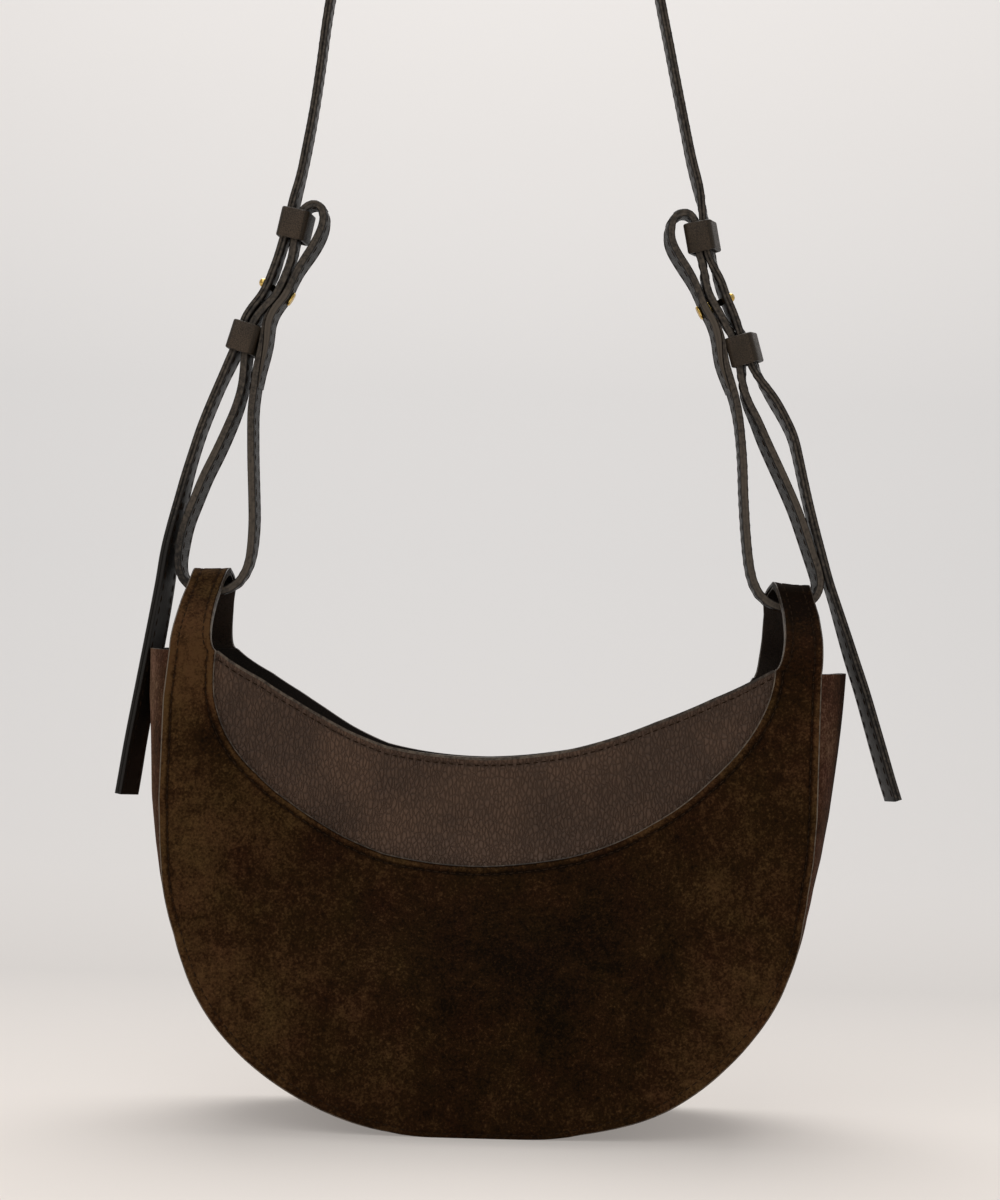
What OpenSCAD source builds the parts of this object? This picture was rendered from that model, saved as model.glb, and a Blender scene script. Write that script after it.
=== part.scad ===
// Half moon shoulder bag: two suede panels joined by a gusset, smooth yokes at the mouth,
// ears that carry a link strap each side, and one long strap that buttons onto the links.
// +X is to the right of the front, -Y is the front and +Z is up, in millimetres.

/* [Body] */
// Width over the front panel
body_w = 236; // [216:1:256]
// Height of the free ends of the gusset
side_h = 171; // [160:1:182]
// Height at which the straight sides turn into the round bottom
round_h = 92; // [84:1:100]
// Drop of the round bottom, a little more than its height so that the bag stands on a flat
round_drop = 95; // [93:1:98]
// Width of the gusset at its free ends
gusset_w = 58; // [50:1:66]
// Width of the gusset at the bottom
base_w = 76; // [68:1:84]
// How far the free ends of the gusset bow outwards
gusset_bow = 9.5; // [6:0.5:10.5]
// Height at which that bow starts
bow_start_h = 50; // [40:1:60]
// How far the panels swell in the lower half
bulge = 5; // [2:0.5:8]

/* [Mouth] */
// Drop of the rim's middle below the free ends of the gusset
rim_drop = 34; // [29:1:39]
// Radius of the curve of the rim
rim_r = 165; // [155:1:185]
// Half the width of the smooth yoke
yoke_half = 101; // [94:1:102]
// Drop of the yoke's lower edge below the free ends of the gusset
yoke_drop = 73.5; // [64:0.5:78]
// How far the yoke runs on under the suede
yoke_lap = 8; // [5:0.5:10]

/* [Leather] */
// Thickness of the suede panels
suede_t = 1.6; // [1.2:0.1:2]
// Thickness of the yokes
yoke_t = 1.3; // [1:0.1:1.6]
// Thickness of the gusset
gusset_t = 1.6; // [1.2:0.1:2]
// Thickness of the lining
lining_t = 0.8; // [0.6:0.1:1]
// Gap left in a stitched seam
seam = 0.2; // [0.15:0.05:0.3]

/* [Ears] */
// Distance of each ear's crown from the middle of the bag
ear_x = 107; // [104:0.5:108]
// Rise of the ear's crown above the free ends of the gusset
ear_rise = 31.4; // [27:0.2:36]
// Radius of the ear's round crown, seen from the side
crown_r = 10.3; // [10:0.1:11.5]
// Width of the ear at its crown
ear_w = 13.5; // [12:0.1:15]
// How far the ear's inner edge stands back at its waist
ear_waist = 2.6; // [1:0.1:4]
// Thickness of the facing inside the ear
facing_t = 1; // [0.8:0.1:1.2]
// Running clearance of the link strap under the crown
crown_gap = 0.3; // [0.2:0.05:0.4]

/* [Straps] */
// Width of every strap
strap_w = 13; // [11:0.5:13.5]
// Thickness of the long strap, two layers sewn together
strap_t = 3.1; // [2.6:0.1:3.3]
// Thickness of the link straps
link_t = 3.1; // [2.6:0.1:3.3]
// Height that the link strap's pattern is drawn to
link_h = 154; // [148:1:160]
// Height of the top of the long strap
strap_top_h = 516; // [480:1:600]
// Radius of the long strap's top bend
arch_r = 46; // [36:1:54]

/* [Keepers] */
// Height of each keeper
keeper_h = 12; // [10:0.5:12]
// Wall of each keeper
keeper_t = 1.7; // [1.3:0.1:2]
// Running clearance round the straps
keeper_gap = 0.4; // [0.3:0.05:0.6]

/* [Studs] */
// Radius of the stud's neck
neck_r = 1.7; // [1.5:0.1:2]
// Radius of the stud's knob
knob_r = 2.9; // [2.6:0.1:3.2]
// Radius of the screw's shank
screw_r = 1.1; // [0.9:0.1:1.2]
// Radius of the screw's head
screw_head_r = 3.2; // [2.6:0.1:3.4]
// Thickness of the screw's head
screw_head_t = 1; // [0.8:0.1:1.2]
// Pitch of the spare holes in the tail
hole_pitch = 14; // [10:1:17]

/* [Snap] */
// Drop of the middle of the magnetic snap below the rim
snap_drop = 13; // [11:1:16]
// Radius of the snap
snap_r = 7; // [6:0.5:8]
// Thickness of the snap's socket
socket_t = 2.6; // [2.2:0.1:3]
// Thickness of the snap's plate
plate_t = 1.2; // [1:0.1:1.5]
// Radius of the plug on the plate
plug_r = 2; // [1.6:0.1:2.4]
// Thickness of the washers behind the snap
washer_t = 0.5; // [0.4:0.1:0.7]
// Radius of those washers
washer_r = 5; // [4:0.5:6]

/* [Hidden] */
$fn = 48;

// Layers of leather, counted inwards from the outer face of a panel
yoke_off = suede_t + seam;
lining_off = yoke_off + yoke_t + washer_t + 2 * seam;
inside_off = lining_off + lining_t;
gusset_lining_in = gusset_t + seam;
half_w = body_w / 2;

// Heights of the rim, the snap and the ear's crown
rim_h = side_h - rim_drop;
snap_h = rim_h - snap_drop;
ear_h = side_h + ear_rise;

// Snap and the depth of the closed rim
snap_gap = socket_t + plate_t + 3 * seam;
rim_depth = snap_gap / 2 + inside_off;
pinch_top_h = snap_h - 2 * snap_r;
pinch_bottom_share = 0.34;
pinch_bottom_h = pinch_top_h * pinch_bottom_share;

// Mesh steps
crescent_steps = 40;
panel_steps = 8;
ear_steps = 12;
yoke_steps = 28;
yoke_rows = 6;
gusset_steps = 44;
gusset_rows = 6;
lining_steps = 26;
lining_rows = 12;
facing_rows = 2;
arc_step = 12;
arc_reach_share = 0.49;
corner_steps = 4;
overrun = 1;

// Ear profile: the share of its run that is the round crown, half the turn of that crown, and
// how far the leg's control points reach, as shares of the ear's rise
ear_crown_share = 0.25;
crown_turn = 50;
leg_reach_share = 0.3;
ear_waist_power = 0.6;
pinch_power = 1.2;

// Link strap and long strap: places to the side of and above the link's bottom run, and bend
// radii, as shares of link_h. Outwards is positive.
bundle_shares = [
    [-0.071, 0.555, 0.053], [-0.110, 0.690, 0.053], [-0.135, 0.715, 0.04],
    [-0.163, 0.776, 0.08], [-0.189, 0.836, 0.1], [-0.210, 0.937, 0.1]];
tail_shares = [
    [0.231, -0.476, 0], [0.121, 0.027, 0.4], [0.061, 0.294, 0.4], [0.012, 0.429, 0.3]];
shoulder_shares = [-0.304, 1.474, 1.2];
link_low_shares = [
    [-0.119, 0.487, 0.2], [-0.101, 0.367, 0.3], [-0.103, 0.207, 0.3], [-0.088, 0, 0.05],
    [0.095, 0, 0.05], [0.072, 0.121, 0.1], [0.040, 0.214, 0.3], [-0.037, 0.381, 0.3],
    [-0.075, 0.481, 0.1]];
link_top_shares = [
    [-0.230, 0.962, 0.04], [-0.307, 0.945, 0.04], [-0.291, 0.868, 0.08], [-0.240, 0.797, 0.1]];
lap_shares = [[-0.181, 0.671, 0.05], [-0.166, 0.594, 0.05]];
lap_start_share = 0.32;
stud_bend_share = 0.034;

function lerp(a, b, t) = a + (b - a) * t;
function limit(t) = min(1, max(0, t));
function ease(t) = let (c = limit(t)) c * c * (3 - 2 * c);
function unit(v) = v / norm(v);

// Outline of the front panel from the left free end round the bottom to the right one,
// inset by a given depth, as [x, z]
side_run = side_h - round_h;
turn_run = PI / 4 * (half_w + round_drop);
function outline(s, inset = 0) =
    let (side = s < 0.5 ? -1 : 1)
    let (run = (s < 0.5 ? s : 1 - s) * 2 * (side_run + turn_run))
    let (turn = 90 * max(0, run - side_run) / turn_run)
    run < side_run
        ? [side * (half_w - inset), side_h - run]
        : [side * (half_w - inset) * cos(turn),
           max(inset, round_h - (round_drop - inset) * sin(turn))];
function bottom_z(x, half, inset) =
    max(inset, round_h - (round_drop - inset) * sqrt(max(0, 1 - pow(x / half, 2))));

// Edge between suede and yoke, and the rim
function yoke_edge(s) = [-yoke_half * cos(180 * s), side_h - yoke_drop * sin(180 * s)];
function rim_z(x) = min(side_h, rim_h + rim_r - sqrt(rim_r * rim_r - x * x));

// Half the depth of the bag, out to the face of the panel: pinched at the middle of the rim,
// full at the gusset and swollen lower down
function edge_depth(z) = lerp(base_w, gusset_w, z / side_h) / 2;
function pinch(x, z) =
    pow(max(0, 1 - pow(x / yoke_half, 2)), pinch_power)
    * ease((z - pinch_bottom_h) / (pinch_top_h - pinch_bottom_h));
function depth(x, z) =
    lerp(edge_depth(z), rim_depth, pinch(x, z))
    + bulge * max(0, 1 - pow(x / half_w, 2)) * sin(180 * limit(z / pinch_top_h));
function front_point(p, off) = [p[0], off - depth(p[0], p[1]), p[1]];

// Side view of the ear, from the top of the panel at 0 to the crown at 1, as [y, z]: a leg that
// leans in and a round crown, whose centre the link strap turns about
crown_h = ear_h - crown_r;
crown_foot = [-crown_r * sin(crown_turn), crown_h + crown_r * cos(crown_turn)];
leg_reach = ear_rise * leg_reach_share;
leg_points = [
    [-edge_depth(side_h), side_h],
    [-edge_depth(side_h), side_h + leg_reach],
    crown_foot - leg_reach * [cos(crown_turn), sin(crown_turn)],
    crown_foot];
leg_end = 1 - ear_crown_share;
function leg_at(t) =
    pow(1 - t, 3) * leg_points[0] + 3 * t * pow(1 - t, 2) * leg_points[1]
    + 3 * t * t * (1 - t) * leg_points[2] + pow(t, 3) * leg_points[3];
function leg_way(t) =
    unit(pow(1 - t, 2) * (leg_points[1] - leg_points[0])
    + 2 * t * (1 - t) * (leg_points[2] - leg_points[1])
    + t * t * (leg_points[3] - leg_points[2]));
function crown_angle(e) = crown_turn * (1 - e) / ear_crown_share;
function ear_path(e) =
    e < leg_end
        ? leg_at(e / leg_end)
        : [-crown_r * sin(crown_angle(e)), crown_h + crown_r * cos(crown_angle(e))];
function ear_tangent(e) =
    e < leg_end ? leg_way(e / leg_end) : [cos(crown_angle(e)), sin(crown_angle(e))];
function ear_inwards(e, off) =
    let (t = ear_tangent(e))
    ear_path(e) + off * [t[1], -t[0]];
function ear_outer_x(e) = lerp(half_w, ear_x + ear_w / 2, ease(e));
function ear_inner_x(e) =
    lerp(yoke_half, ear_x - ear_w / 2, e) + ear_waist * sin(180 * pow(e, ear_waist_power));
function ear_point(side, e, r, off) =
    let (p = ear_inwards(e, off))
    [side * lerp(ear_outer_x(e), ear_inner_x(e), r), p[0], p[1]];

// Height of the link strap's bottom run, whose upper corners clear the inside of the crown
seat_r = crown_r - suede_t - seam - facing_t - crown_gap;
run_h = crown_h + sqrt(pow(seat_r, 2) - pow(strap_w / 2, 2)) - link_t / 2;
function placed(share) = [ear_x + share[0] * link_h, run_h + share[1] * link_h];

// Polyline with corners turned into arcs: corners are [x, z] and radii are given one by one
function arc_at(a, b, c, r) =
    let (u = unit(a - b), v = unit(c - b))
    let (open = acos(max(-1, min(1, u * v))))
    let (turn = 180 - open)
    r <= 0 || turn < 1
        ? [b]
        : let (room = arc_reach_share * min(norm(a - b), norm(c - b)))
          let (reach = min(r * tan(turn / 2), room))
          let (radius = reach / tan(turn / 2))
          let (centre = b + unit(u + v) * radius / cos(turn / 2))
          let (from = b + u * reach - centre)
          let (way = cross(b - a, c - b) > 0 ? 1 : -1)
          let (steps = max(2, ceil(turn / arc_step)))
          [for (i = [0:steps])
              let (t = way * turn * i / steps)
              centre + [from[0] * cos(t) - from[1] * sin(t), from[0] * sin(t) + from[1] * cos(t)]];
function rounded(points, radii) =
    let (last = len(points) - 1)
    [for (i = [0:last])
        each (i == 0 || i == last
            ? [points[i]]
            : arc_at(points[i - 1], points[i], points[i + 1], radii[i]))];

// A path moved sideways, to the right of its own direction
function right_of(v) = [v[1], -v[0]];
function side_normal(path, i) =
    let (last = len(path) - 1)
    let (before = unit(path[max(1, i)] - path[max(1, i) - 1]))
    let (after = unit(path[min(last, i + 1)] - path[min(last, i + 1) - 1]))
    let (middle = unit(right_of(before) + right_of(after)))
    middle / (middle * right_of(before));
function shifted(path, d) = [for (i = [0:len(path) - 1]) path[i] + d * side_normal(path, i)];
function radii_of(shares) = [for (s = shares) s[2] * link_h];

// The line between the long strap and the link where they lie side by side, bottom to top
bundle = [for (s = bundle_shares) placed(s)];
bundle_radii = radii_of(bundle_shares);
strap_bundle = shifted(bundle, (strap_t + seam) / 2);
link_bundle = shifted(bundle, -(link_t + seam) / 2);
return_bundle = shifted(bundle, -1.5 * (link_t + seam));

// Stud: at the middle of the straight run where three layers meet
stud_way = unit(bundle[3] - bundle[2]);
stud_out = right_of(stud_way);
stud_place = (link_bundle[3] + link_bundle[2]) / 2;
stud_turn = atan2(stud_out[0], stud_out[1]);

// Long strap, from the right tail up and over to the left tail
shoulder = placed(shoulder_shares);
arch_centre = [0, strap_top_h - arch_r - strap_t / 2];
shoulder_away = shoulder - arch_centre;
arch_start = atan2(shoulder_away[1], shoulder_away[0]) + acos(arch_r / norm(shoulder_away));
arch_point = arch_centre + arch_r * [cos(arch_start), sin(arch_start)];
arch_sweep = 90 - arch_start;
arch_steps = ceil(arch_sweep / (arc_step / 2));
strap_corners = concat([for (s = tail_shares) placed(s)], strap_bundle, [shoulder, arch_point]);
strap_radii = concat(radii_of(tail_shares), bundle_radii, [shoulder_shares[2] * link_h, 0]);
strap_right = concat(
    rounded(strap_corners, strap_radii),
    [for (i = [1:arch_steps])
        let (a = arch_start + arch_sweep * i / arch_steps)
        arch_centre + arch_r * [cos(a), sin(a)]]);
strap_path = concat(
    strap_right,
    [for (i = [len(strap_right) - 2:-1:0]) [-strap_right[i][0], strap_right[i][1]]]);

// Link strap, from the top of its lap down, round the ear, up beside the long strap, over the
// top loop and back through the stud to the lower end of the lap
lap_line = [for (s = lap_shares) placed(s)];
lap_aside = [link_t + 1.5 * seam, 0];
lap_under = [for (t = [lap_start_share, 1]) lerp(lap_line[0], lap_line[1], t) + lap_aside];
link_corners = concat(
    lap_under, [for (s = link_low_shares) placed(s)], link_bundle,
    [for (s = link_top_shares) placed(s)], [return_bundle[3], return_bundle[2]], lap_line);
link_radii = concat(
    radii_of(lap_shares), radii_of(link_low_shares), bundle_radii,
    radii_of(link_top_shares), [1, 1] * stud_bend_share * link_h, radii_of(lap_shares));
link_path = rounded(link_corners, link_radii);

// Closed shell between two grids of points. Going along a row and then to the next column
// turns round the way that faces out of the outer grid.
module shell(outer, inner) {
    rows = len(outer);
    cols = len(outer[0]);
    all_points = concat([for (row = outer) each row], [for (row = inner) each row]);
    function at(i, j, layer) = (layer * rows + i) * cols + j;
    function cells(layer) = [for (i = [0:rows - 2], j = [0:cols - 2])
        each [
            [at(i, j, layer), at(i + 1, j + 1, layer), at(i + 1, j, layer)],
            [at(i, j, layer), at(i, j + 1, layer), at(i + 1, j + 1, layer)]]];
    function turned(list) = [for (f = list) [f[0], f[2], f[1]]];
    row_edge = [for (j = [0:cols - 2])
        each [
            [at(0, j, 0), at(0, j, 1), at(0, j + 1, 1)],
            [at(0, j, 0), at(0, j + 1, 1), at(0, j + 1, 0)]]];
    row_end = [for (j = [0:cols - 2])
        each [
            [at(rows - 1, j, 0), at(rows - 1, j + 1, 1), at(rows - 1, j, 1)],
            [at(rows - 1, j, 0), at(rows - 1, j + 1, 0), at(rows - 1, j + 1, 1)]]];
    col_edge = [for (i = [0:rows - 2])
        each [
            [at(i, 0, 0), at(i + 1, 0, 1), at(i, 0, 1)],
            [at(i, 0, 0), at(i + 1, 0, 0), at(i + 1, 0, 1)]]];
    col_end = [for (i = [0:rows - 2])
        each [
            [at(i, cols - 1, 0), at(i, cols - 1, 1), at(i + 1, cols - 1, 1)],
            [at(i, cols - 1, 0), at(i + 1, cols - 1, 1), at(i + 1, cols - 1, 0)]]];
    polyhedron(
        points = all_points,
        faces = concat(cells(0), turned(cells(1)), row_edge, row_end, col_edge, col_end));
}

// Flat strip of leather on edge: a path in the XZ plane with width along Y
module strip(path, from, to) {
    outline_points = concat(
        shifted(path, from),
        [for (i = [len(path) - 1:-1:0]) path[i] + to * side_normal(path, i)]);
    rotate([90, 0, 0])
    translate([0, 0, -strap_w / 2])
    linear_extrude(height = strap_w)
    polygon(outline_points);
}

// Left or right copy of something drawn on the right
module on_side(side) {
    mirror([side < 0 ? 1 : 0, 0, 0])
    children();
}

function panel_grid(off) = concat(
    [for (i = [0:ear_steps - 1])
        [for (j = [0:panel_steps]) ear_point(-1, 1 - i / ear_steps, j / panel_steps, off)]],
    [for (i = [0:crescent_steps])
        let (s = i / crescent_steps)
        [for (j = [0:panel_steps])
            front_point(lerp(outline(s), yoke_edge(s), j / panel_steps), off)]],
    [for (i = [1:ear_steps])
        [for (j = [0:panel_steps]) ear_point(1, i / ear_steps, j / panel_steps, off)]]);

module suede_panel() {
    shell(panel_grid(0), panel_grid(suede_t));
}

module front_panel() {
    color("#3a2617")
    translate([0, -seam / 2, 0])
    suede_panel();
}

module back_panel() {
    color("#3a2617")
    mirror([0, 1, 0])
    translate([0, -seam / 2, 0])
    suede_panel();
}

// Gusset and its lining share one rule: inset from the outline, and a side margin
function gusset_grid(inset, margin, rows) =
    [for (i = [0:gusset_steps])
        let (p = outline(i / gusset_steps, inset))
        let (half = edge_depth(p[1]) - margin)
        let (rise = limit((p[1] - bow_start_h) / (side_h - bow_start_h)))
        [for (j = [0:rows])
            let (c = 1 - 2 * j / rows)
            [p[0] + sign(p[0]) * gusset_bow * rise * (1 - c * c), c * half, p[1]]]];

module gusset() {
    margin = suede_t + seam;
    color("#452c1b")
    shell(gusset_grid(0, margin, gusset_rows), gusset_grid(gusset_t, margin, gusset_rows));
}

module gusset_lining() {
    margin = inside_off + seam;
    inset = gusset_lining_in;
    color("#2a211a")
    shell(
        gusset_grid(inset, margin, gusset_rows),
        gusset_grid(inset + lining_t, margin, gusset_rows));
}

// Yokes and linings: columns across the bag, each from a low edge up to the rim
function column_grid(half, steps, rows, off, low) =
    [for (i = [0:steps])
        let (x = -half * cos(180 * i / steps))
        [for (j = [0:rows])
            front_point([x, lerp(low(x), rim_z(x), j / rows)], off)]];

yoke_reach = yoke_half + yoke_lap;
yoke_low = function(x)
    side_h - yoke_lap - yoke_drop * sqrt(max(0, 1 - pow(x / yoke_reach, 2)));

module yoke() {
    shell(
        column_grid(yoke_reach, yoke_steps, yoke_rows, yoke_off, yoke_low),
        column_grid(yoke_reach, yoke_steps, yoke_rows, yoke_off + yoke_t, yoke_low));
}

module front_yoke() {
    color("#3c3129")
    yoke();
}

module back_yoke() {
    color("#3c3129")
    mirror([0, 1, 0])
    yoke();
}

lining_half = half_w - gusset_lining_in;
lining_low = function(x) bottom_z(x, lining_half, gusset_lining_in);

module lining() {
    shell(
        column_grid(lining_half, lining_steps, lining_rows, lining_off, lining_low),
        column_grid(lining_half, lining_steps, lining_rows, inside_off, lining_low));
}

module front_lining() {
    color("#2a211a")
    lining();
}

module back_lining() {
    color("#2a211a")
    mirror([0, 1, 0])
    lining();
}

// Facing inside an ear, one piece from the front base over the crown to the back base
function facing_grid(off) =
    [for (i = [0:2 * ear_steps])
        let (front = i <= ear_steps)
        let (e = (front ? i : 2 * ear_steps - i) / ear_steps)
        [for (j = [0:facing_rows])
            let (p = ear_point(1, e, j / facing_rows, off))
            [p[0], front ? p[1] : -p[1], p[2]]]];

module ear_facing() {
    off = suede_t + seam;
    shell(facing_grid(off), facing_grid(off + facing_t));
}

module ear_facing_left() {
    color("#33251b")
    on_side(-1)
    ear_facing();
}

module ear_facing_right() {
    color("#33251b")
    on_side(1)
    ear_facing();
}

// Magnetic snap, drawn along Y from the front lining to the back lining
socket_y = -snap_gap / 2 + seam;
plate_y = socket_y + socket_t + seam;
magnet_wall = plug_r / 4;
magnet_t = socket_t - 3 * magnet_wall;
plug_len = socket_t - magnet_wall;
plug_hole_r = plug_r + seam;

module along_y(y) {
    translate([0, y, snap_h])
    rotate([-90, 0, 0])
    children();
}

module snap_socket() {
    color("#c8a24a")
    along_y(socket_y)
    difference() {
        cylinder(h = socket_t, r = snap_r);
        translate([0, 0, magnet_wall])
        cylinder(h = socket_t, r = plug_hole_r);
        translate([0, 0, magnet_wall])
        difference() {
            cylinder(h = magnet_t + magnet_wall, r = snap_r - magnet_wall);
            cylinder(h = magnet_t + magnet_wall, r = plug_hole_r + magnet_wall);
        }
    }
}

module snap_magnet() {
    color("#5a5a5c")
    along_y(socket_y + magnet_wall + seam / 4)
    difference() {
        cylinder(h = magnet_t + magnet_wall - seam / 2, r = snap_r - magnet_wall - seam / 4);
        translate([0, 0, -overrun])
        cylinder(
            h = magnet_t + magnet_wall + 2 * overrun,
            r = plug_hole_r + magnet_wall + seam / 4);
    }
}

module snap_plate() {
    color("#c8a24a")
    along_y(plate_y) {
        cylinder(h = plate_t, r = snap_r);
        translate([0, 0, -plug_len + magnet_wall])
        cylinder(h = plug_len, r = plug_r);
    }
}

module snap_washers() {
    color("#9a9a98")
    for (back = [0, 1])
    mirror([0, back, 0])
    along_y(-rim_depth + yoke_off + yoke_t + seam / 2)
    cylinder(h = washer_t, r = washer_r);
}

// Stud: a screw from the inner side through two layers of link, and a knob on the outer side
// that the long strap buttons over
module at_stud() {
    translate([stud_place[0], 0, stud_place[1]])
    rotate([0, stud_turn, 0])
    children();
}

hole_r = neck_r + seam;
link_hole_r = screw_r + seam;
stack_in = 1.5 * link_t + 1.5 * seam;
neck_len = strap_t + 2 * seam;
knob_rise_share = 0.75;
knob_rise = knob_r * knob_rise_share;
screw_reach = link_t / 2 + neck_len;

module stud_knob() {
    translate([0, 0, link_t / 2 + seam / 2])
    difference() {
        union() {
            cylinder(h = neck_len + knob_rise, r = neck_r);
            translate([0, 0, neck_len + knob_rise])
            intersection() {
                sphere(r = knob_r);
                translate([0, 0, -knob_rise])
                cylinder(h = 2 * knob_r, r = knob_r);
            }
        }
        translate([0, 0, -overrun])
        cylinder(h = neck_len + overrun, r = screw_r + seam / 4);
    }
}

module stud_screw() {
    translate([0, 0, -stack_in - screw_head_t])
    difference() {
        union() {
            cylinder(h = screw_head_t, r = screw_head_r);
            cylinder(h = screw_head_t + stack_in + screw_reach - seam, r = screw_r);
        }
        translate([-screw_head_r, -screw_head_t / 4, -overrun])
        cube([2 * screw_head_r, screw_head_t / 2, overrun + screw_head_t / 2]);
    }
}

module stud_knob_left() {
    color("#d9b65c")
    on_side(-1)
    at_stud()
    stud_knob();
}

module stud_knob_right() {
    color("#d9b65c")
    on_side(1)
    at_stud()
    stud_knob();
}

module stud_screw_left() {
    color("#d9b65c")
    on_side(-1)
    at_stud()
    stud_screw();
}

module stud_screw_right() {
    color("#d9b65c")
    on_side(1)
    at_stud()
    stud_screw();
}

// Holes through the long strap: one over the stud and two spare ones in the tail
spare_line = [placed(tail_shares[2]), placed(tail_shares[1])];
spare_way = unit(spare_line[0] - spare_line[1]);
spare_out = right_of(spare_way);

module strap_holes() {
    for (side = [-1, 1])
    on_side(side) {
        at_stud()
        cylinder(h = 2 * (link_t + strap_t), r = hole_r);
        for (k = [-0.5, 0.5]) {
            place = (spare_line[0] + spare_line[1]) / 2 + k * hole_pitch * spare_way;
            translate([place[0], 0, place[1]])
            rotate([0, atan2(spare_out[0], spare_out[1]), 0])
            cylinder(h = 2 * strap_t, r = hole_r, center = true);
        }
    }
}

module strap_layer(from, to) {
    difference() {
        strip(strap_path, from, to);
        strap_holes();
    }
}

module strap_outer_layer() {
    color("#2b2724")
    strap_layer(0, strap_t / 2);
}

module strap_inner_layer() {
    color("#332c27")
    strap_layer(-strap_t / 2, 0);
}

module link_strap() {
    difference() {
        strip(link_path, -link_t / 2, link_t / 2);
        at_stud()
        cylinder(h = 2 * (stack_in + link_t), r = link_hole_r, center = true);
    }
}

module link_strap_left() {
    color("#2e2824")
    on_side(-1)
    link_strap();
}

module link_strap_right() {
    color("#2e2824")
    on_side(1)
    link_strap();
}

// Keepers: leather bands round the long strap and the link, drawn upright and then leaned
upper_way = unit(bundle[5] - bundle[4]);
lower_way = unit(bundle[1] - bundle[0]);
bundle_offset = (strap_t - link_t) / 2;
upper_place =
    bundle[5] - upper_way * (keeper_h / 2 + keeper_gap) + bundle_offset * right_of(upper_way);
lower_place = (bundle[0] + bundle[1]) / 2 + bundle_offset * right_of(lower_way);
keeper_in = [(strap_t + link_t + seam) / 2 + keeper_gap, strap_w / 2 + keeper_gap];
keeper_out = keeper_in + [keeper_t, keeper_t];

function round_rect(half, r) =
    [for (q = [0:3], i = [0:corner_steps])
        let (a = 90 * (q + i / corner_steps))
        let (cx = (q == 0 || q == 3 ? 1 : -1) * (half[0] - r))
        let (cy = (q < 2 ? 1 : -1) * (half[1] - r))
        [cx + r * cos(a), cy + r * sin(a)]];

module keeper(place, way) {
    translate([place[0], 0, place[1]])
    rotate([0, atan2(way[0], way[1]), 0])
    linear_extrude(height = keeper_h, center = true)
    difference() {
        polygon(round_rect(keeper_out, keeper_t + seam));
        polygon(round_rect(keeper_in, seam));
    }
}

module keeper_upper_left() {
    color("#3f352c")
    on_side(-1)
    keeper(upper_place, upper_way);
}

module keeper_upper_right() {
    color("#3f352c")
    on_side(1)
    keeper(upper_place, upper_way);
}

module keeper_lower_left() {
    color("#3f352c")
    on_side(-1)
    keeper(lower_place, lower_way);
}

module keeper_lower_right() {
    color("#3f352c")
    on_side(1)
    keeper(lower_place, lower_way);
}

front_panel();
back_panel();
gusset();
front_yoke();
back_yoke();
ear_facing_left();
ear_facing_right();
front_lining();
back_lining();
gusset_lining();
snap_socket();
snap_magnet();
snap_plate();
snap_washers();
strap_outer_layer();
strap_inner_layer();
link_strap_left();
link_strap_right();
keeper_upper_left();
keeper_upper_right();
keeper_lower_left();
keeper_lower_right();
stud_knob_left();
stud_knob_right();
stud_screw_left();
stud_screw_right();
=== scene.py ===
# %% [markdown]
# # A half moon shoulder bag in suede and smooth leather
# The real bag is two suede crescents joined by a long gusset, with smooth pebbled yokes at the
# mouth and two ears that carry link straps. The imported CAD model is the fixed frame: it says
# which pieces there are and how they move. This file puts the leather on it: soft forms, cut
# edges, stitches, grain and nap.

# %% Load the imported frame
import math

import bpy
import numpy as np
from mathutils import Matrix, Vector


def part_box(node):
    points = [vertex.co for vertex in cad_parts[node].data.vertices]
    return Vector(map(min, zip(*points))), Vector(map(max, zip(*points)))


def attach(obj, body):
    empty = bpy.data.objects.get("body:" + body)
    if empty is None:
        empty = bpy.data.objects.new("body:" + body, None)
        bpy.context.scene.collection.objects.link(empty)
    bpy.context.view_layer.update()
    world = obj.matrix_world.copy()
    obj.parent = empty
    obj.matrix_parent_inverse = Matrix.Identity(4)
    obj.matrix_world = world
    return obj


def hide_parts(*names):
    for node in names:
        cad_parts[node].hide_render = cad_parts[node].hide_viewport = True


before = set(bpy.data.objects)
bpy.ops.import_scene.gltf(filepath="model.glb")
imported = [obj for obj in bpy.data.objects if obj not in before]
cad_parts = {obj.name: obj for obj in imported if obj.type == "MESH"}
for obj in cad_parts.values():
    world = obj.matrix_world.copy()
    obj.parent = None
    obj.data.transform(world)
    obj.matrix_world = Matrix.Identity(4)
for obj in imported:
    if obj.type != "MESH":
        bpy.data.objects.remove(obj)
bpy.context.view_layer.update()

# %% [markdown]
# ## Sizes
# A pattern maker works from a few sizes. The same ones drive the CAD model, so they are written
# here in millimetres, and every mesh is turned into metres when it is made. Printing them beside
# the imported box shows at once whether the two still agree.

# %% Driving sizes of the bag
MM = 0.001
half_w, side_h = 118.0, 171.0  # half the width of a panel, and its height at the free ends
round_h, round_drop = 92.0, 95.0  # height where the sides turn in, and how far the round falls
gusset_w, base_w = 58.0, 76.0  # depth of the bag at the free ends, and at the base
gusset_bow, bow_start_h, bulge = 9.5, 50.0, 5.0  # swell of the gusset and of the panels
rim_drop, rim_r = 34.0, 165.0  # how far the rim hangs, and the radius of its curve
yoke_half, yoke_drop, yoke_lap = 101.0, 73.5, 8.0  # the open yoke, and its lap under the suede
suede_t, yoke_t, gusset_t, lining_t, facing_t = 1.6, 1.3, 1.6, 0.8, 1.0
seam = 0.2  # room for thread and glue between two sheets
ear_x, ear_rise, ear_w, ear_waist = 107.0, 31.4, 13.5, 2.6
crown_r = 10.3  # outer radius of an ear where it turns over the link
rim_h = side_h - rim_drop
crown_h = side_h + ear_rise - crown_r
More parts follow.
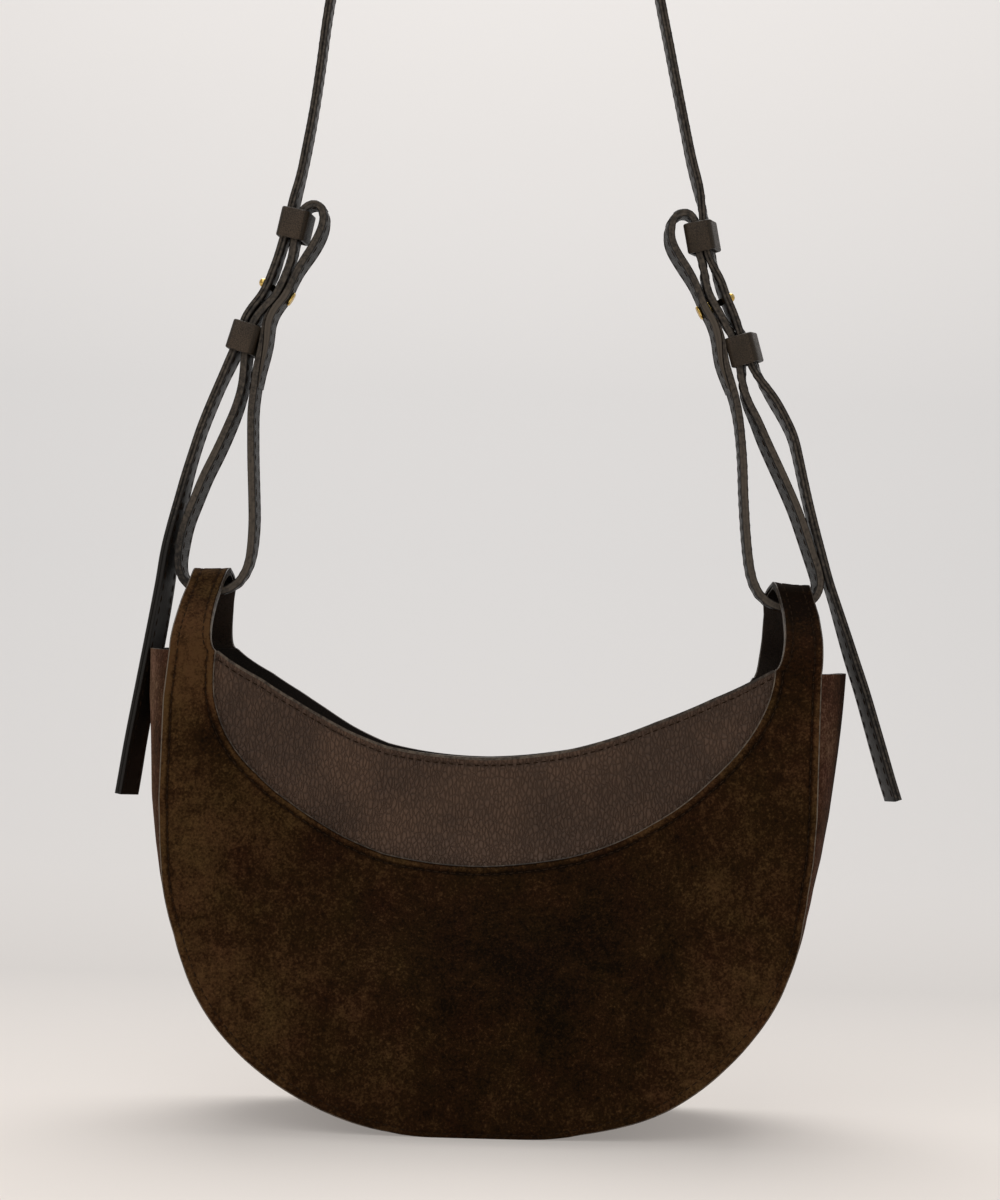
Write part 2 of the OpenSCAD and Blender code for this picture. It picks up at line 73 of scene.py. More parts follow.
rim_depth, pinch_power = 7.0, 1.2  # half the depth that the snap leaves, and how it opens out
pinch_top_h, pinch_bottom_h = 110.0, 37.4
yoke_off = suede_t + seam
lining_off = 4.0
inside_off = lining_off + lining_t

low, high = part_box("front_panel")
print("panel width", 2 * half_w, "packed", round((high.x - low.x) / MM, 2))
print("ear height", side_h + ear_rise, "packed", round(high.z / MM, 2))

# %% [markdown]
# ## Helpers for soft shapes
# Leather bends without corners. So every change of form or tone in this file is a soft step or a
# soft hump, made with the few functions here, and not a hard limit.


# %% Soft steps and humps
def lerp(a, b, t):
    return a + (b - a) * t


def ease(t):
    t = np.clip(t, 0, 1)
    return t * t * (3 - 2 * t)


def rise(value, start, run):
    """A soft step from 0 at start to 1 at start + run. A negative run steps the other way."""
    return ease((value - start) / run)


def hump(value, middle, reach):
    return np.exp(-(((value - middle) / reach) ** 2))


def unit(v):
    v = np.asarray(v, float)
    return v / np.maximum(np.linalg.norm(v, axis=-1, keepdims=True), 1e-9)


print("a soft step half way:", float(rise(0.5, 0, 1)))

# %% [markdown]
# ## Camera
# The bag was photographed from straight in front, with the lens a little above the rim, and it
# leans by a degree and a half in the picture. The bag could be leaned, but then its base would
# leave the shelf. Turning the camera about its own axis shows the same lean.

# %% Camera
picture_lean = math.radians(1.6)
camera_place = (-0.0006, -1.035, 0.1936)

camera_data = bpy.data.cameras.new("camera")
camera_data.sensor_fit = "VERTICAL"
camera_data.sensor_height = 36
camera_data.lens = 83.3
camera_data.clip_start = 0.05
camera_data.clip_end = 20
camera = bpy.data.objects.new("camera", camera_data)
camera.location = camera_place
camera.rotation_euler = (math.radians(90), -picture_lean, 0)
bpy.context.scene.collection.objects.link(camera)
bpy.context.scene.camera = camera
bpy.context.scene.view_settings.view_transform = "Standard"
print("camera looks along +Y from", camera_place)

# %% [markdown]
# ## Floor, backdrop and light
# The bag stands on a pale sweep, a floor that curves up into a wall, so no horizon shows. The
# light is plain and soft: an even world, one large lamp over the front and one from behind, which
# draws the edges of the straps. Their level is chosen so that a colour renders as it is written.
# The same few mesh helpers that make the sweep make every piece of the bag.


# %% Mesh helpers
def srgb(text):
    """A colour such as 46301c as linear red, green, blue and alpha."""
    parts = [int(text[i:i + 2], 16) / 255 for i in (0, 2, 4)]
    return tuple(c / 12.92 if c <= 0.04045 else ((c + 0.055) / 1.055) ** 2.4 for c in parts) + (1,)


def mesh_object(name, points, faces, edges=(), finishes=()):
    """A new mesh from points in mm."""
    mesh = bpy.data.meshes.new(name)
    mesh.from_pydata([tuple(p) for p in np.asarray(points, float) * MM], edges, faces)
    mesh.update()
    for finish in finishes:
        mesh.materials.append(finish)
    made = bpy.data.objects.new(name, mesh)
    bpy.context.scene.collection.objects.link(made)
    return made


def grid_faces(rows, cols, flip=False, wrap=False):
    """Faces of a grid. With wrap its columns close to a tube, and its two ends get a cap."""
    faces = []
    for i in range(rows - 1):
        for j in range(cols if wrap else cols - 1):
            k = (j + 1) % cols
            face = (i * cols + j, (i + 1) * cols + j, (i + 1) * cols + k, i * cols + k)
            faces.append(face[::-1] if flip else face)
    if wrap:
        faces.append(tuple(range(cols)))
        faces.append(tuple((rows - 1) * cols + k for k in reversed(range(cols))))
    return faces


def smooth(thing):
    thing.data.polygons.foreach_set("use_smooth", [True] * len(thing.data.polygons))
    thing.data.update()
    return thing


# %% Sweep
sweep_half, sweep_near, sweep_bend_y, sweep_bend_r, sweep_top = 6000, -4000, 900, 700, 4500
bend = [math.radians(a) for a in range(0, 91, 6)]
profile = [(sweep_near, 0)]
profile += [
    (sweep_bend_y + sweep_bend_r * math.sin(a), sweep_bend_r * (1 - math.cos(a))) for a in bend]
profile += [(sweep_bend_y + sweep_bend_r, sweep_top)]
sweep_points = [(x, y, z) for y, z in profile for x in (-sweep_half, sweep_half)]
sweep = smooth(mesh_object("sweep", sweep_points, grid_faces(len(profile), 2, flip=True)))
print("sweep has", len(profile), "steps")


# %% Lamps and world
def lamp(name, place, aim, size, watts, tint=(1, 1, 1)):
    data = bpy.data.lights.new(name, "AREA")
    data.shape = "SQUARE"
    data.size = size
    data.energy = watts
    data.color = tint
    made = bpy.data.objects.new(name, data)
    way = np.subtract(aim, place)
    yaw = math.atan2(way[1], way[0]) - math.pi / 2
    pitch = math.atan2(way[2], math.hypot(way[0], way[1]))
    made.location = place
    made.rotation_euler = (math.pi / 2 + pitch, 0, yaw)
    bpy.context.scene.collection.objects.link(made)
    return made


world = bpy.data.worlds.new("world")
world.use_nodes = True
world.node_tree.nodes["Background"].inputs["Color"].default_value = (1.0, 0.995, 0.99, 1)
world.node_tree.nodes["Background"].inputs["Strength"].default_value = 0.42
bpy.context.scene.world = world
lamp("key_lamp", (-0.5, -1.3, 1.6), (0, 0.4, 0.3), 1.6, 9, (1.0, 0.995, 0.99))
lamp("top_lamp", (0.0, 0.75, 1.8), (0, 0, 0.1), 1.5, 30, (1.0, 0.995, 0.985))

# %% [markdown]
# ## Finishes
# Each finish is a Principled shader fed by noise that reads Object coordinates, so it stays put
# on the piece. The two effects that several finishes share are node groups: the nap of suede and
# the pebbles of grained leather. The helpers below write one node, or one small step, in a line.


# %% Nodes and links
def plug(tree, socket, value):
    """Links a socket to another one, or gives it a value of its own."""
    if isinstance(value, bpy.types.NodeSocket):
        tree.links.new(value, socket)
    elif value is not None:
        socket.default_value = value


def add_node(tree, kind, settings=None, **sockets):
    node = tree.nodes.new(kind)
    for name, value in (settings or {}).items():
        setattr(node, name, value)
    for name, value in sockets.items():
        plug(tree, node.inputs[name.replace("_", " ")], value)
    return node


def math_node(tree, operation, a, b=None, clamp=False):
    node = add_node(tree, "ShaderNodeMath", {"operation": operation, "use_clamp": clamp})
    plug(tree, node.inputs[0], a)
    plug(tree, node.inputs[1], b)
    return node.outputs[0]


def mix_colour(tree, factor, a, b):
    node = add_node(tree, "ShaderNodeMix", {"data_type": "RGBA"})
    for k, value in ((0, factor), (6, a), (7, b)):
        plug(tree, node.inputs[k], value)
    return node.outputs[2]


def ramp(tree, value, stops):
    node = tree.nodes.new("ShaderNodeValToRGB")
    tree.links.new(value, node.inputs[0])
    elements = node.color_ramp.elements
    while len(elements) < len(stops):
        elements.new(0.5)
    for element, (place, colour) in zip(elements, stops):
        element.position = place
        element.color = srgb(colour) if isinstance(colour, str) else (colour, colour, colour, 1)
    return node.outputs[0]


# %% Groups and materials
def new_group(name, inputs, outputs):
    group = bpy.data.node_groups.new(name, "ShaderNodeTree")
    for label, kind, value in inputs:
        socket = group.interface.new_socket(label, in_out="INPUT", socket_type=kind)
        if value is not None:
            socket.default_value = value
    for label, kind in outputs:
        group.interface.new_socket(label, in_out="OUTPUT", socket_type=kind)
    start = group.nodes.new("NodeGroupInput")
    end = group.nodes.new("NodeGroupOutput")
    return group, start.outputs, end.inputs


def new_material(name, roughness, gloss, **sockets):
    material = bpy.data.materials.new(name)
    material.use_nodes = True
    tree = material.node_tree
    shader = tree.nodes["Principled BSDF"]
    for label, value in {"Roughness": roughness, "Specular_IOR_Level": gloss, **sockets}.items():
        plug(tree, shader.inputs[label.replace("_", " ")], value)
    where = tree.nodes.new("ShaderNodeTexCoord").outputs["Object"]
    return material, tree, shader, where


# %% Noise, bumps and the tone of a piece
def noise(tree, where, scale, detail=2.0, rough=0.5, distortion=0.0):
    return add_node(tree, "ShaderNodeTexNoise", None, Vector=where, Scale=scale, Detail=detail,
                    Roughness=rough, Distortion=distortion).outputs[0]


def varied(tree, cloud, middle, spread):
    """A value that noise varies about its middle."""
    return math_node(tree, "ADD", math_node(tree, "MULTIPLY", cloud, spread), middle - spread / 2)


def bump(tree, shader, height, distance, strength=1.0):
    node = add_node(
        tree, "ShaderNodeBump", None, Height=height, Strength=strength, Distance=distance)
    tree.links.new(node.outputs[0], shader.inputs["Normal"])


def stretched(tree, where, scale):
    return add_node(tree, "ShaderNodeMapping", None, Vector=where, Scale=scale).outputs[0]


def tone(tree):
    """The attribute that lightens or darkens a piece from place to place."""
    return add_node(tree, "ShaderNodeAttribute", {"attribute_name": "tone"}).outputs["Fac"]


# %% [markdown]
# ### The nap of suede
# Suede is the brushed flesh side. Fingers push its fibres about, which leaves patches one or two
# centimetres across that differ in tone, and single fibres catch the light as tiny flecks. Real
# hairs would be millions of faces, so five noises of falling size stand for them.

# %% Nap group
nap, given, result = new_group(
    "nap",
    [("Vector", "NodeSocketVector", None), ("Patch Size", "NodeSocketFloat", 50.0),
     ("Fibre Size", "NodeSocketFloat", 1500.0)],
    [("Patches", "NodeSocketFloat"), ("Flecks", "NodeSocketFloat"), ("Height", "NodeSocketFloat")])
patches = noise(nap, given["Vector"], given["Patch Size"], 5.0, 0.72, 0.4)
small = noise(nap, given["Vector"], 300.0, 3.0, 0.65, 0.3)
brushed = noise(nap, stretched(nap, given["Vector"], (520.0, 520.0, 150.0)), 1.0, 2.0, 0.6)
fibres = noise(nap, given["Vector"], given["Fibre Size"], 2.0, 0.65)
curls = noise(nap, given["Vector"], 620.0, 2.0, 0.7, 0.8)
blend = math_node(nap, "MULTIPLY", patches, 0.42)
for part, share in ((small, 0.2), (brushed, 0.1), (curls, 0.22), (fibres, 0.34)):
    blend = math_node(nap, "ADD", blend, math_node(nap, "MULTIPLY", part, share))
level = 0.14  # brings the middle of the blend back to a half
flecks = math_node(nap, "MULTIPLY", math_node(nap, "SUBTRACT", fibres, 0.6), 7.0, clamp=True)
nap.links.new(math_node(nap, "SUBTRACT", blend, level), result["Patches"])
nap.links.new(flecks, result["Flecks"])
height = math_node(nap, "ADD", math_node(nap, "MULTIPLY", fibres, 0.5),
                   math_node(nap, "MULTIPLY", small, 0.5))
nap.links.new(height, result["Height"])
print("nap group has", len(nap.nodes), "nodes")


# %% Suede finishes
def suede_material(name, dark, middle, light, fleck, sheen):
    material, tree, shader, where = new_material(
        name, 0.95, 0.05, Sheen_Weight=sheen, Sheen_Roughness=0.5, Sheen_Tint=srgb(light))
    seen = add_node(tree, "ShaderNodeGroup", {"node_tree": nap}, Vector=where,
                    Patch_Size=40.0, Fibre_Size=1100.0).outputs
    shade = math_node(tree, "ADD", seen["Patches"], tone(tree))
    body = ramp(tree, shade, [(0.34, dark), (0.5, middle), (0.68, light)])
    hue_middle, hue_drift = 0.498, 0.05
    hue = varied(tree, noise(tree, where, 55.0, 3.0, 0.6), hue_middle, hue_drift)
    tinted = add_node(tree, "ShaderNodeHueSaturation", None, Color=body, Hue=hue)
    amount = math_node(tree, "MULTIPLY", seen["Flecks"], 0.1)
    tree.links.new(
        mix_colour(tree, amount, tinted.outputs[0], srgb(fleck)), shader.inputs["Base Color"])
    bump(tree, shader, seen["Height"], 0.0004, 0.6)
    return material


suede = suede_material("suede_brown", "110903", "281809", "4e3820", "6e5232", 0.04)
gusset_suede = suede_material("suede_gusset", "20130c", "412b1d", "705644", "86695a", 0.06)
print("suede finishes:", suede.name, gusset_suede.name)

# %% [markdown]
# ### Grained leather
# Pebbled leather is a net of small raised cells with fine creases between them. A Voronoi
# distance to the cell edge gives the net, noise bends it, and the cells of a yoke are stretched
# upwards as the hide was pulled. The straps and keepers use the same net, finer and flatter.

# %% Pebble group
pebble, given, result = new_group(
    "pebble",
    [("Vector", "NodeSocketVector", None), ("Cell Size", "NodeSocketFloat", 800.0),
     ("Crease", "NodeSocketFloat", 0.12)],
    [("Crease", "NodeSocketFloat"), ("Height", "NodeSocketFloat")])
bend_noise = add_node(pebble, "ShaderNodeTexNoise", None, Vector=given["Vector"], Scale=420.0)
bent = add_node(pebble, "ShaderNodeVectorMath", {"operation": "MULTIPLY_ADD"})
pebble.links.new(bend_noise.outputs["Color"], bent.inputs[0])
bend_reach = 0.0014
bent.inputs[1].default_value = (bend_reach, bend_reach, bend_reach)
pebble.links.new(given["Vector"], bent.inputs[2])
cells = pebble.nodes.new("ShaderNodeTexVoronoi")
cells.feature = "DISTANCE_TO_EDGE"
pebble.links.new(bent.outputs[0], cells.inputs["Vector"])
pebble.links.new(given["Cell Size"], cells.inputs["Scale"])
ridge = math_node(pebble, "DIVIDE", cells.outputs["Distance"], given["Crease"], clamp=True)
rounded_ridge = math_node(pebble, "POWER", ridge, 0.6)
fine = math_node(pebble, "MULTIPLY", noise(pebble, given["Vector"], 3200.0, 2.0), 0.25)
plug(pebble, result["Crease"], math_node(pebble, "SUBTRACT", 1.0, ridge))
plug(pebble, result["Height"], math_node(pebble, "ADD", rounded_ridge, fine))
print("pebble group has", len(pebble.nodes), "nodes")


# %% Leather finishes
def leather_material(name, colours, roughness, cell, crease, depth, pull=(1, 1, 1), lines=0.7):
    dark, light, line = colours
    material, tree, shader, where = new_material(name, roughness, 0.28)
    seen = add_node(tree, "ShaderNodeGroup", {"node_tree": pebble},
                    Vector=stretched(tree, where, pull), Cell_Size=cell, Crease=crease).outputs
    cloud = noise(tree, where, 38.0, 3.0, 0.55)
    shade = math_node(tree, "ADD", cloud, tone(tree))
    body = ramp(tree, shade, [(0.35, dark), (0.65, light)])
    # Painted shade darkens the creases between the cells.
    crease_shaded = mix_colour(tree, math_node(tree, "MULTIPLY", seen["Crease"], lines), body, srgb(line))
    tree.links.new(crease_shaded, shader.inputs["Base Color"])
    crease_dull = 0.2
    duller = math_node(tree, "MULTIPLY", seen["Crease"], crease_dull)
    handled = varied(tree, cloud, roughness, 0.12)
    tree.links.new(
        math_node(tree, "ADD", duller, handled, clamp=True), shader.inputs["Roughness"])
    bump(tree, shader, seen["Height"], depth, 0.7)
    return material


yoke_leather = leather_material(
    "leather_yoke", ("483528", "5b4434", "20160e"), 0.5, 760.0, 0.27, 0.0006, (1, 1, 0.45), 0.4)
strap_leather = leather_material(
    "leather_strap", ("0f0c08", "1b1610", "080604"), 0.48, 1500.0, 0.14, 0.00012)
keeper_leather = leather_material(
    "leather_keeper", ("2f2518", "483b2e", "17110b"), 0.46, 1300.0, 0.14, 0.00012)
facing_leather = leather_material(
    "leather_facing", ("22180f", "33251a", "120c07"), 0.6, 1200.0, 0.15, 0.00015)
print("leather finishes:", [m.name for m in bpy.data.materials if m.name.startswith("leather")])

# %% [markdown]
# ### Edge paint, thread, lining and metals
# These finishes have no grain of their own. One cloud of noise varies their colour and gloss, as
# handling does, and the edge paint also follows the tone of its piece, which holds painted light
# and shade, such as the darker rounded corners of the straps.


# %% Plain finishes
def plain_material(name, dark, light, roughness, scale, depth=0, edge_tone=False, gloss=0.3, metal=0):
    material, tree, shader, where = new_material(name, roughness, gloss, Metallic=metal)
    cloud = noise(tree, where, scale, 3.0, 0.6)
    # Edge finishes follow the tone attribute, and so its painted light and shade.
    shade = math_node(tree, "ADD", cloud, tone(tree)) if edge_tone else cloud
    body = ramp(tree, shade, [(0.35, dark), (0.68, light)])
    tree.links.new(body, shader.inputs["Base Color"])
    tree.links.new(varied(tree, cloud, roughness, 0.16), shader.inputs["Roughness"])
    if depth:
        bump(tree, shader, cloud, depth, 0.6)
    return material


edge_paint = plain_material("edge_paint", "2e251d", "665a4d", 0.55, 420.0, 0.0002, edge_tone=True)
strap_edge = plain_material("strap_edge", "17130f", "4f463c", 0.5, 640.0, 0.0002, edge_tone=True)
flesh_side = plain_material("flesh_side", "21160d", "37271a", 0.95, 900.0, 0.0003)
thread = plain_material("thread", "1a120a", "33251a", 0.95, 2600.0, gloss=0.04)
lining_cloth = plain_material("lining_twill", "120d09", "241b14", 0.9, 1600.0, 0.0002)
bright = {"gloss": 0.5, "metal": 1}
pale_brass = plain_material("pale_brass", "c29a45", "e8cd83", 0.2, 700.0, **bright)
pressed_brass = plain_material("pressed_brass", "9c7a36", "c9a75c", 0.32, 500.0, **bright)
dark_magnet = plain_material(
    "magnet_grey", "2c2c2e", "4b4b4e", 0.5, 900.0, 0.0001, gloss=0.5, metal=0.6)
washer_steel = plain_material("washer_steel", "7c7c7c", "a8a8a8", 0.34, 800.0, **bright)

print("plain finishes:", edge_paint.name, strap_edge.name, thread.name, pale_brass.name)

# %% [markdown]
# ### Paper of the stage
# The photo's floor is warm, its wall is an even grey behind the bag and nearly white at the top.
# A ramp that runs along the floor and up the wall gives those tones. The paper gives a third of
# its light itself, which keeps the wall even where the lamps fall off.

# %% Stage paper
stage_paper, tree, shader, where = new_material("stage_paper", 0.95, 0)
place = add_node(tree, "ShaderNodeSeparateXYZ", None, Vector=where).outputs
paper_start, paper_run = 0.3, 2.8
run = math_node(tree, "ADD", math_node(tree, "ADD", place["Y"], place["Z"]), paper_start)
paper = ramp(tree, math_node(tree, "DIVIDE", run, paper_run), [
    (0.07, "e6dfd9"), (0.24, "cac6c3"), (0.7, "d4d2d1"), (0.79, "d8d6d5"), (0.93, "ece9e7")])
fill = 0.35
plug(tree, shader.inputs["Base Color"], mix_colour(tree, fill, paper, srgb("000000")))
plug(tree, shader.inputs["Emission Color"], paper)
plug(tree, shader.inputs["Emission Strength"], fill * 0.95)
sweep.data.materials.append(stage_paper)
print("materials:", len(bpy.data.materials))

# %% [markdown]
# ## Leather sheets
# A sewn bag is sheets of leather with a real thickness and a cut edge. A box could be sculpted,
# but a sheet that follows the pattern bends where leather bends. Each sheet starts as a grid of
# points, Solidify gives it its thickness towards the inside, and a small Bevel rounds the cut
# edge, which then takes the edge paint.


# %% Plain meshes, tones and bodies
def plain_mesh(source, name):
    """The evaluated object as a plain mesh without modifiers, under a new name."""
    graph = bpy.context.evaluated_depsgraph_get()
    mesh = bpy.data.meshes.new_from_object(source.evaluated_get(graph))
    mesh.name = name
    bpy.data.objects.remove(source)
    made = bpy.data.objects.new(name, mesh)
    bpy.context.scene.collection.objects.link(made)
    return made


def set_tone(thing, values):
    layer = thing.data.attributes.new("tone", "FLOAT", "POINT")
    layer.data.foreach_set("value", np.asarray(values, np.float32).ravel())


def dress(piece, body, slot, *nodes):
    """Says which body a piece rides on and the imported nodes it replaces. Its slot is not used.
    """
    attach(piece, body)
    if nodes:
        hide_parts(*nodes)
    print(piece.name, "has", len(piece.data.polygons), "faces")


# %% A sheet of leather or cloth
def sheet(name, grid, thickness, finishes, slot, node, flip=False, tones=None, round_edge=0.3,
          painted=()):
    """A sheet of the bag from a grid of points in mm: finishes are its face, flesh and cut edge.
    painted lists the columns of faces that the edge paint runs over."""
    rows, cols = grid.shape[:2]
    source = mesh_object(
        name + "_face", grid.reshape(-1, 3), grid_faces(rows, cols, flip), finishes=finishes)
    columns = [k % (cols - 1) for k in painted]
    slots = [2 if k in columns else 0 for _ in range(rows - 1) for k in range(cols - 1)]
    source.data.polygons.foreach_set("material_index", slots)
    set_tone(source, np.zeros(rows * cols) if tones is None else tones)
    wall = source.modifiers.new("thickness", "SOLIDIFY")
    wall.thickness = thickness * MM
    wall.offset = -1
    wall.use_rim = True
    wall.material_offset = 1
    wall.material_offset_rim = 2
    edge = source.modifiers.new("round_edge", "BEVEL")
    edge.width = round_edge * MM
    edge.segments = 2
    edge.limit_method = "ANGLE"
    edge.angle_limit = math.radians(50)
    edge.use_clamp_overlap = True
    dress(smooth(plain_mesh(source, name)), "bag", slot, node)


def face_normals(grid, flip=False):
    along = np.gradient(grid, axis=0)
    across = np.gradient(grid, axis=1)
    way = unit(np.cross(along, across))
    return -way if flip else way


# %% [markdown]
# ## The form of the bag
# Seen from the front the panel is a crescent: straight sides, a round bottom, and an ear at each
# top corner. Seen from above it is a lens: the snap pinches the rims together and the gusset
# keeps the ends apart. These functions repeat the pattern, so that every sheet, seam and stitch
# that meets an edge finds it in the same place.

# %% Outline and seams of the pattern
turn_run = math.pi / 4 * (half_w + round_drop)
side_run = side_h - round_h


def outline(s, inset=0.0):
    """Points of the crescent from the left free end round the bottom to the right one."""
    s = np.asarray(s, float)
    side = np.where(s < 0.5, -1.0, 1.0)
    run = np.where(s < 0.5, s, 1 - s) * 2 * (side_run + turn_run)
    turn = np.clip(run - side_run, 0, None) / turn_run * math.pi / 2
    z = np.where(run < side_run, side_h - run, round_h - (round_drop - inset) * np.sin(turn))
    return np.stack([side * (half_w - inset) * np.cos(turn), np.maximum(z, inset)], -1)


def bottom_z(x, half, inset):
    fall = np.sqrt(np.clip(1 - (x / half) ** 2, 0, None))
    return np.maximum(inset, round_h - (round_drop - inset) * fall)


def yoke_edge(s):
    """The curved seam of the suede over the yoke, worn into a rounder sweep on the right."""
    turn = math.pi * np.asarray(s, float)
    x = -yoke_half * np.cos(turn)
    power = np.where(x < 0, 0.84, lerp(0.78, 1.12, ease((x - 30) / 62)))
    return np.stack([x, side_h - yoke_drop * np.sin(turn) ** power], -1)


def rim_z(x):
    return np.minimum(side_h, rim_h + rim_r - np.sqrt(rim_r ** 2 - x ** 2))


# %% Depth of the bag
def edge_depth(z):
    return lerp(base_w, gusset_w, z / side_h) / 2


def depth_at(x, z):
    close = np.clip(1 - (x / yoke_half) ** 2, 0, None) ** pinch_power
    close = close * ease((z - pinch_bottom_h) / (pinch_top_h - pinch_bottom_h))
    swell = bulge * np.clip(1 - (x / half_w) ** 2, 0, None)
    swell = swell * np.sin(math.pi * np.clip(z / pinch_top_h, 0, 1))
    return lerp(edge_depth(z), rim_depth, close) + swell


def ripple(x, z):
    """Small soft waves of the leather, in mm, that fade out at the seams and the rim."""
    inside = rise(np.abs(x), half_w, -30) * rise(z, 0, 30) * rise(z, side_h - 12, -40)
    wave = 0.7 * np.sin(x / 21 + z / 34) + 0.5 * np.sin(x / 13 - z / 17 + 1.3)
    wave = wave + 0.35 * np.sin(x / 7.5 + z / 11 + 0.4)
    return wave * inside


print("depth at the rim's middle and end:", depth_at(0, rim_h), depth_at(yoke_half, side_h))

# %% [markdown]
# ### How the soft bag has settled
# The pattern is the same left and right, but the bag in the picture has slumped: its lower body
# sits a little to the left, the rims lean in, and the base is pressed flat only in its middle. A
# cloth simulation would not stop at just this rest, so the shift of each height was chosen, in
# mm, beside the outline in the picture.

# %% Slump
settle_z = [0, 12, 27, 38, 48, 59, 70, 80, 90, 102, 118, 154, 171, 182, 191, 200]
settle_left = [
    -4.0, -4.0, -3.5, -2.5, -1.5, -0.4, 0, -0.9, -2.0, -3.1, -4.0, -3.6, -2.0, -2.0, -1.8, -1.0]
settle_right = [
    2.6, 2.6, -0.6, -2.0, -2.9, -4.0, -4.4, -4.9, -4.4, -2.7, -1.7, -1.4, -1.2, 0.3, 1.0, 0.6]
sink_x = [-108, -96, -84, -72, -62, -52, -38, 0, 30, 60, 80, 95, 108]
sink_z = [0, 0.6, 2.2, 1.7, 0.4, -1.3, -2.8, -2.0, -0.6, 2.0, 2.4, 1.4, 0]
soft_base, base_rest, flat_press, corner_drop = 4.0, 1.0, 3.0, 1.2


def back_rim_lift(x, y, z):
    """How far the rim of the back sheet stands over or under the front one, in mm."""
    behind = rise(y, 0, 12) * rise(z, 105, 30) * rise(z, side_h + 6, -12)
    return behind * (1.6 * hump(x, -70, 20) - 9.5 * hump(x, 92, 26) - 1.6 * hump(x, 38, 22))


def back_ear_lean(x, y, z):
    """How far the back legs of the ears lean to the middle of the bag, in mm."""
    high_up = rise(y, 0, 11) * rise(z, 150, 40) * rise(z, crown_h + 18, -14)
    return np.where(x > 0, 4.4, -3.4) * high_up * rise(np.abs(x), 60, 40)


def slump(points, floor=0.0):
    """Moves points of the bag as its soft body has settled in the picture."""
    x, y, z = points[..., 0], points[..., 1], points[..., 2]
    share = (x + half_w) / (2 * half_w)
    drift = lerp(np.interp(z, settle_z, settle_left), np.interp(z, settle_z, settle_right), share)
    drift = drift - back_ear_lean(x, y, z)
    # The top corners stand higher on the left, and the rims sink between them.
    corner = rise(np.abs(x), 60, 58) * rise(z, 90, 70) * rise(z, side_h + 14, -14)
    sink = np.interp(x, sink_x, sink_z) * rise(z, 20, 70) + back_rim_lift(x, y, z)
    # Only the middle of the base is pressed flat, with a slight lift on its right.
    low = z - flat_press * rise(z, 9, -9) * rise(np.abs(x), 34, -16)
    lift = 0.9 * hump(x, 38, 16) * rise(z, 20, -16)
    soft = (low + np.sqrt(low ** 2 + soft_base ** 2)) / 2 - base_rest * rise(z, 30, -30)
    down = np.maximum(soft - corner_drop * np.sign(x) * corner + sink + lift, floor)
    return np.stack([x + drift, y, down], -1)


def front_and_back(points, floor=0.0):
    """The settled front grid and its mirror image at the back, whose faces have to be flipped."""
    return {"front": (slump(points, floor), False),
            "back": (slump(points * [1, -1, 1], floor), True)}


print("the rim's middle settles to z =", round(float(slump(np.array([0, 0, rim_h]))[2]), 2), "mm")

# %% [markdown]
# ### Ears
# An ear runs on from the panel: up its front leg, over a round crown that holds the link, and
# down at the back. The crown is a true arc about the line on which the straps swing, so nothing
# rubs, and a Bezier curve leads the leg into it without a corner.

# %% Ears
crown_turn = math.radians(50)
crown_share = 0.25
leg_reach = 0.3 * ear_rise
leg_points = np.array([
    [-gusset_w / 2, side_h],
    [-gusset_w / 2, side_h + leg_reach],
    [-crown_r * math.sin(crown_turn) - leg_reach * math.cos(crown_turn),
     crown_h + crown_r * math.cos(crown_turn) - leg_reach * math.sin(crown_turn)],
    [-crown_r * math.sin(crown_turn), crown_h + crown_r * math.cos(crown_turn)]])


def ear_path(e):
    """Side view of the front leg of an ear as (y, z) points and directions, from foot to crown."""
    t = np.clip(e / (1 - crown_share), 0, 1)[..., None]
    p0, p1, p2, p3 = leg_points
    leg = (1 - t) ** 3 * p0 + 3 * t * (1 - t) ** 2 * p1 + 3 * t ** 2 * (1 - t) * p2 + t ** 3 * p3
    leg_way = unit(
        (1 - t) ** 2 * (p1 - p0) + 2 * t * (1 - t) * (p2 - p1) + t ** 2 * (p3 - p2))
    turn = crown_turn * (1 - e) / crown_share
    crown = np.stack([-crown_r * np.sin(turn), crown_h + crown_r * np.cos(turn)], -1)
    crown_way = np.stack([np.cos(turn), np.sin(turn)], -1)
    low_part = (e < 1 - crown_share)[..., None]
    return np.where(low_part, leg, crown), np.where(low_part, leg_way, crown_way)


def ear_point(side, e, r, off):
    path, way = ear_path(e)
    path = path + off * np.stack([way[..., 1], -way[..., 0]], -1)
    outer = lerp(half_w, ear_x + ear_w / 2, ease(e))
    inner = lerp(yoke_half, ear_x - ear_w / 2, e) + ear_waist * np.sin(math.pi * e ** 0.6)
    return np.stack([side * lerp(outer, inner, r), path[..., 0], path[..., 1]], -1)


print("ear crown turns about z =", round(crown_h, 2), "mm")

# %% [markdown]
# ## Suede panels
# Front and back are the same pattern. The grid is finer near both long edges, because a line of
# stitches pulls a shallow groove there, three millimetres in from the cut. Rows run from the left
# ear round the bottom to the right ear, and columns run from the outer edge to the yoke.

# %% Columns of a panel
near_edge = np.array([0, 0.4, 1.0, 1.7, 2.3, 2.65, 3.0, 3.35, 3.7, 4.3, 5.2])
stitch_in = 3.0
stitch_column = int(np.argmin(np.abs(near_edge - stitch_in)))
groove_depth, groove_width = 0.35, 0.5
far_in = 99.0  # stands for any distance at which the seam isn't felt


def crossing_sine(points, across):
    """Sine of the angle between an edge and the lines that cross it."""
    along = unit(np.gradient(points, axis=0))
    across = unit(across)
    turned = along[..., 0] * across[..., 1] - along[..., 1] * across[..., 0]
    return np.clip(np.abs(turned), 0.6, 1)


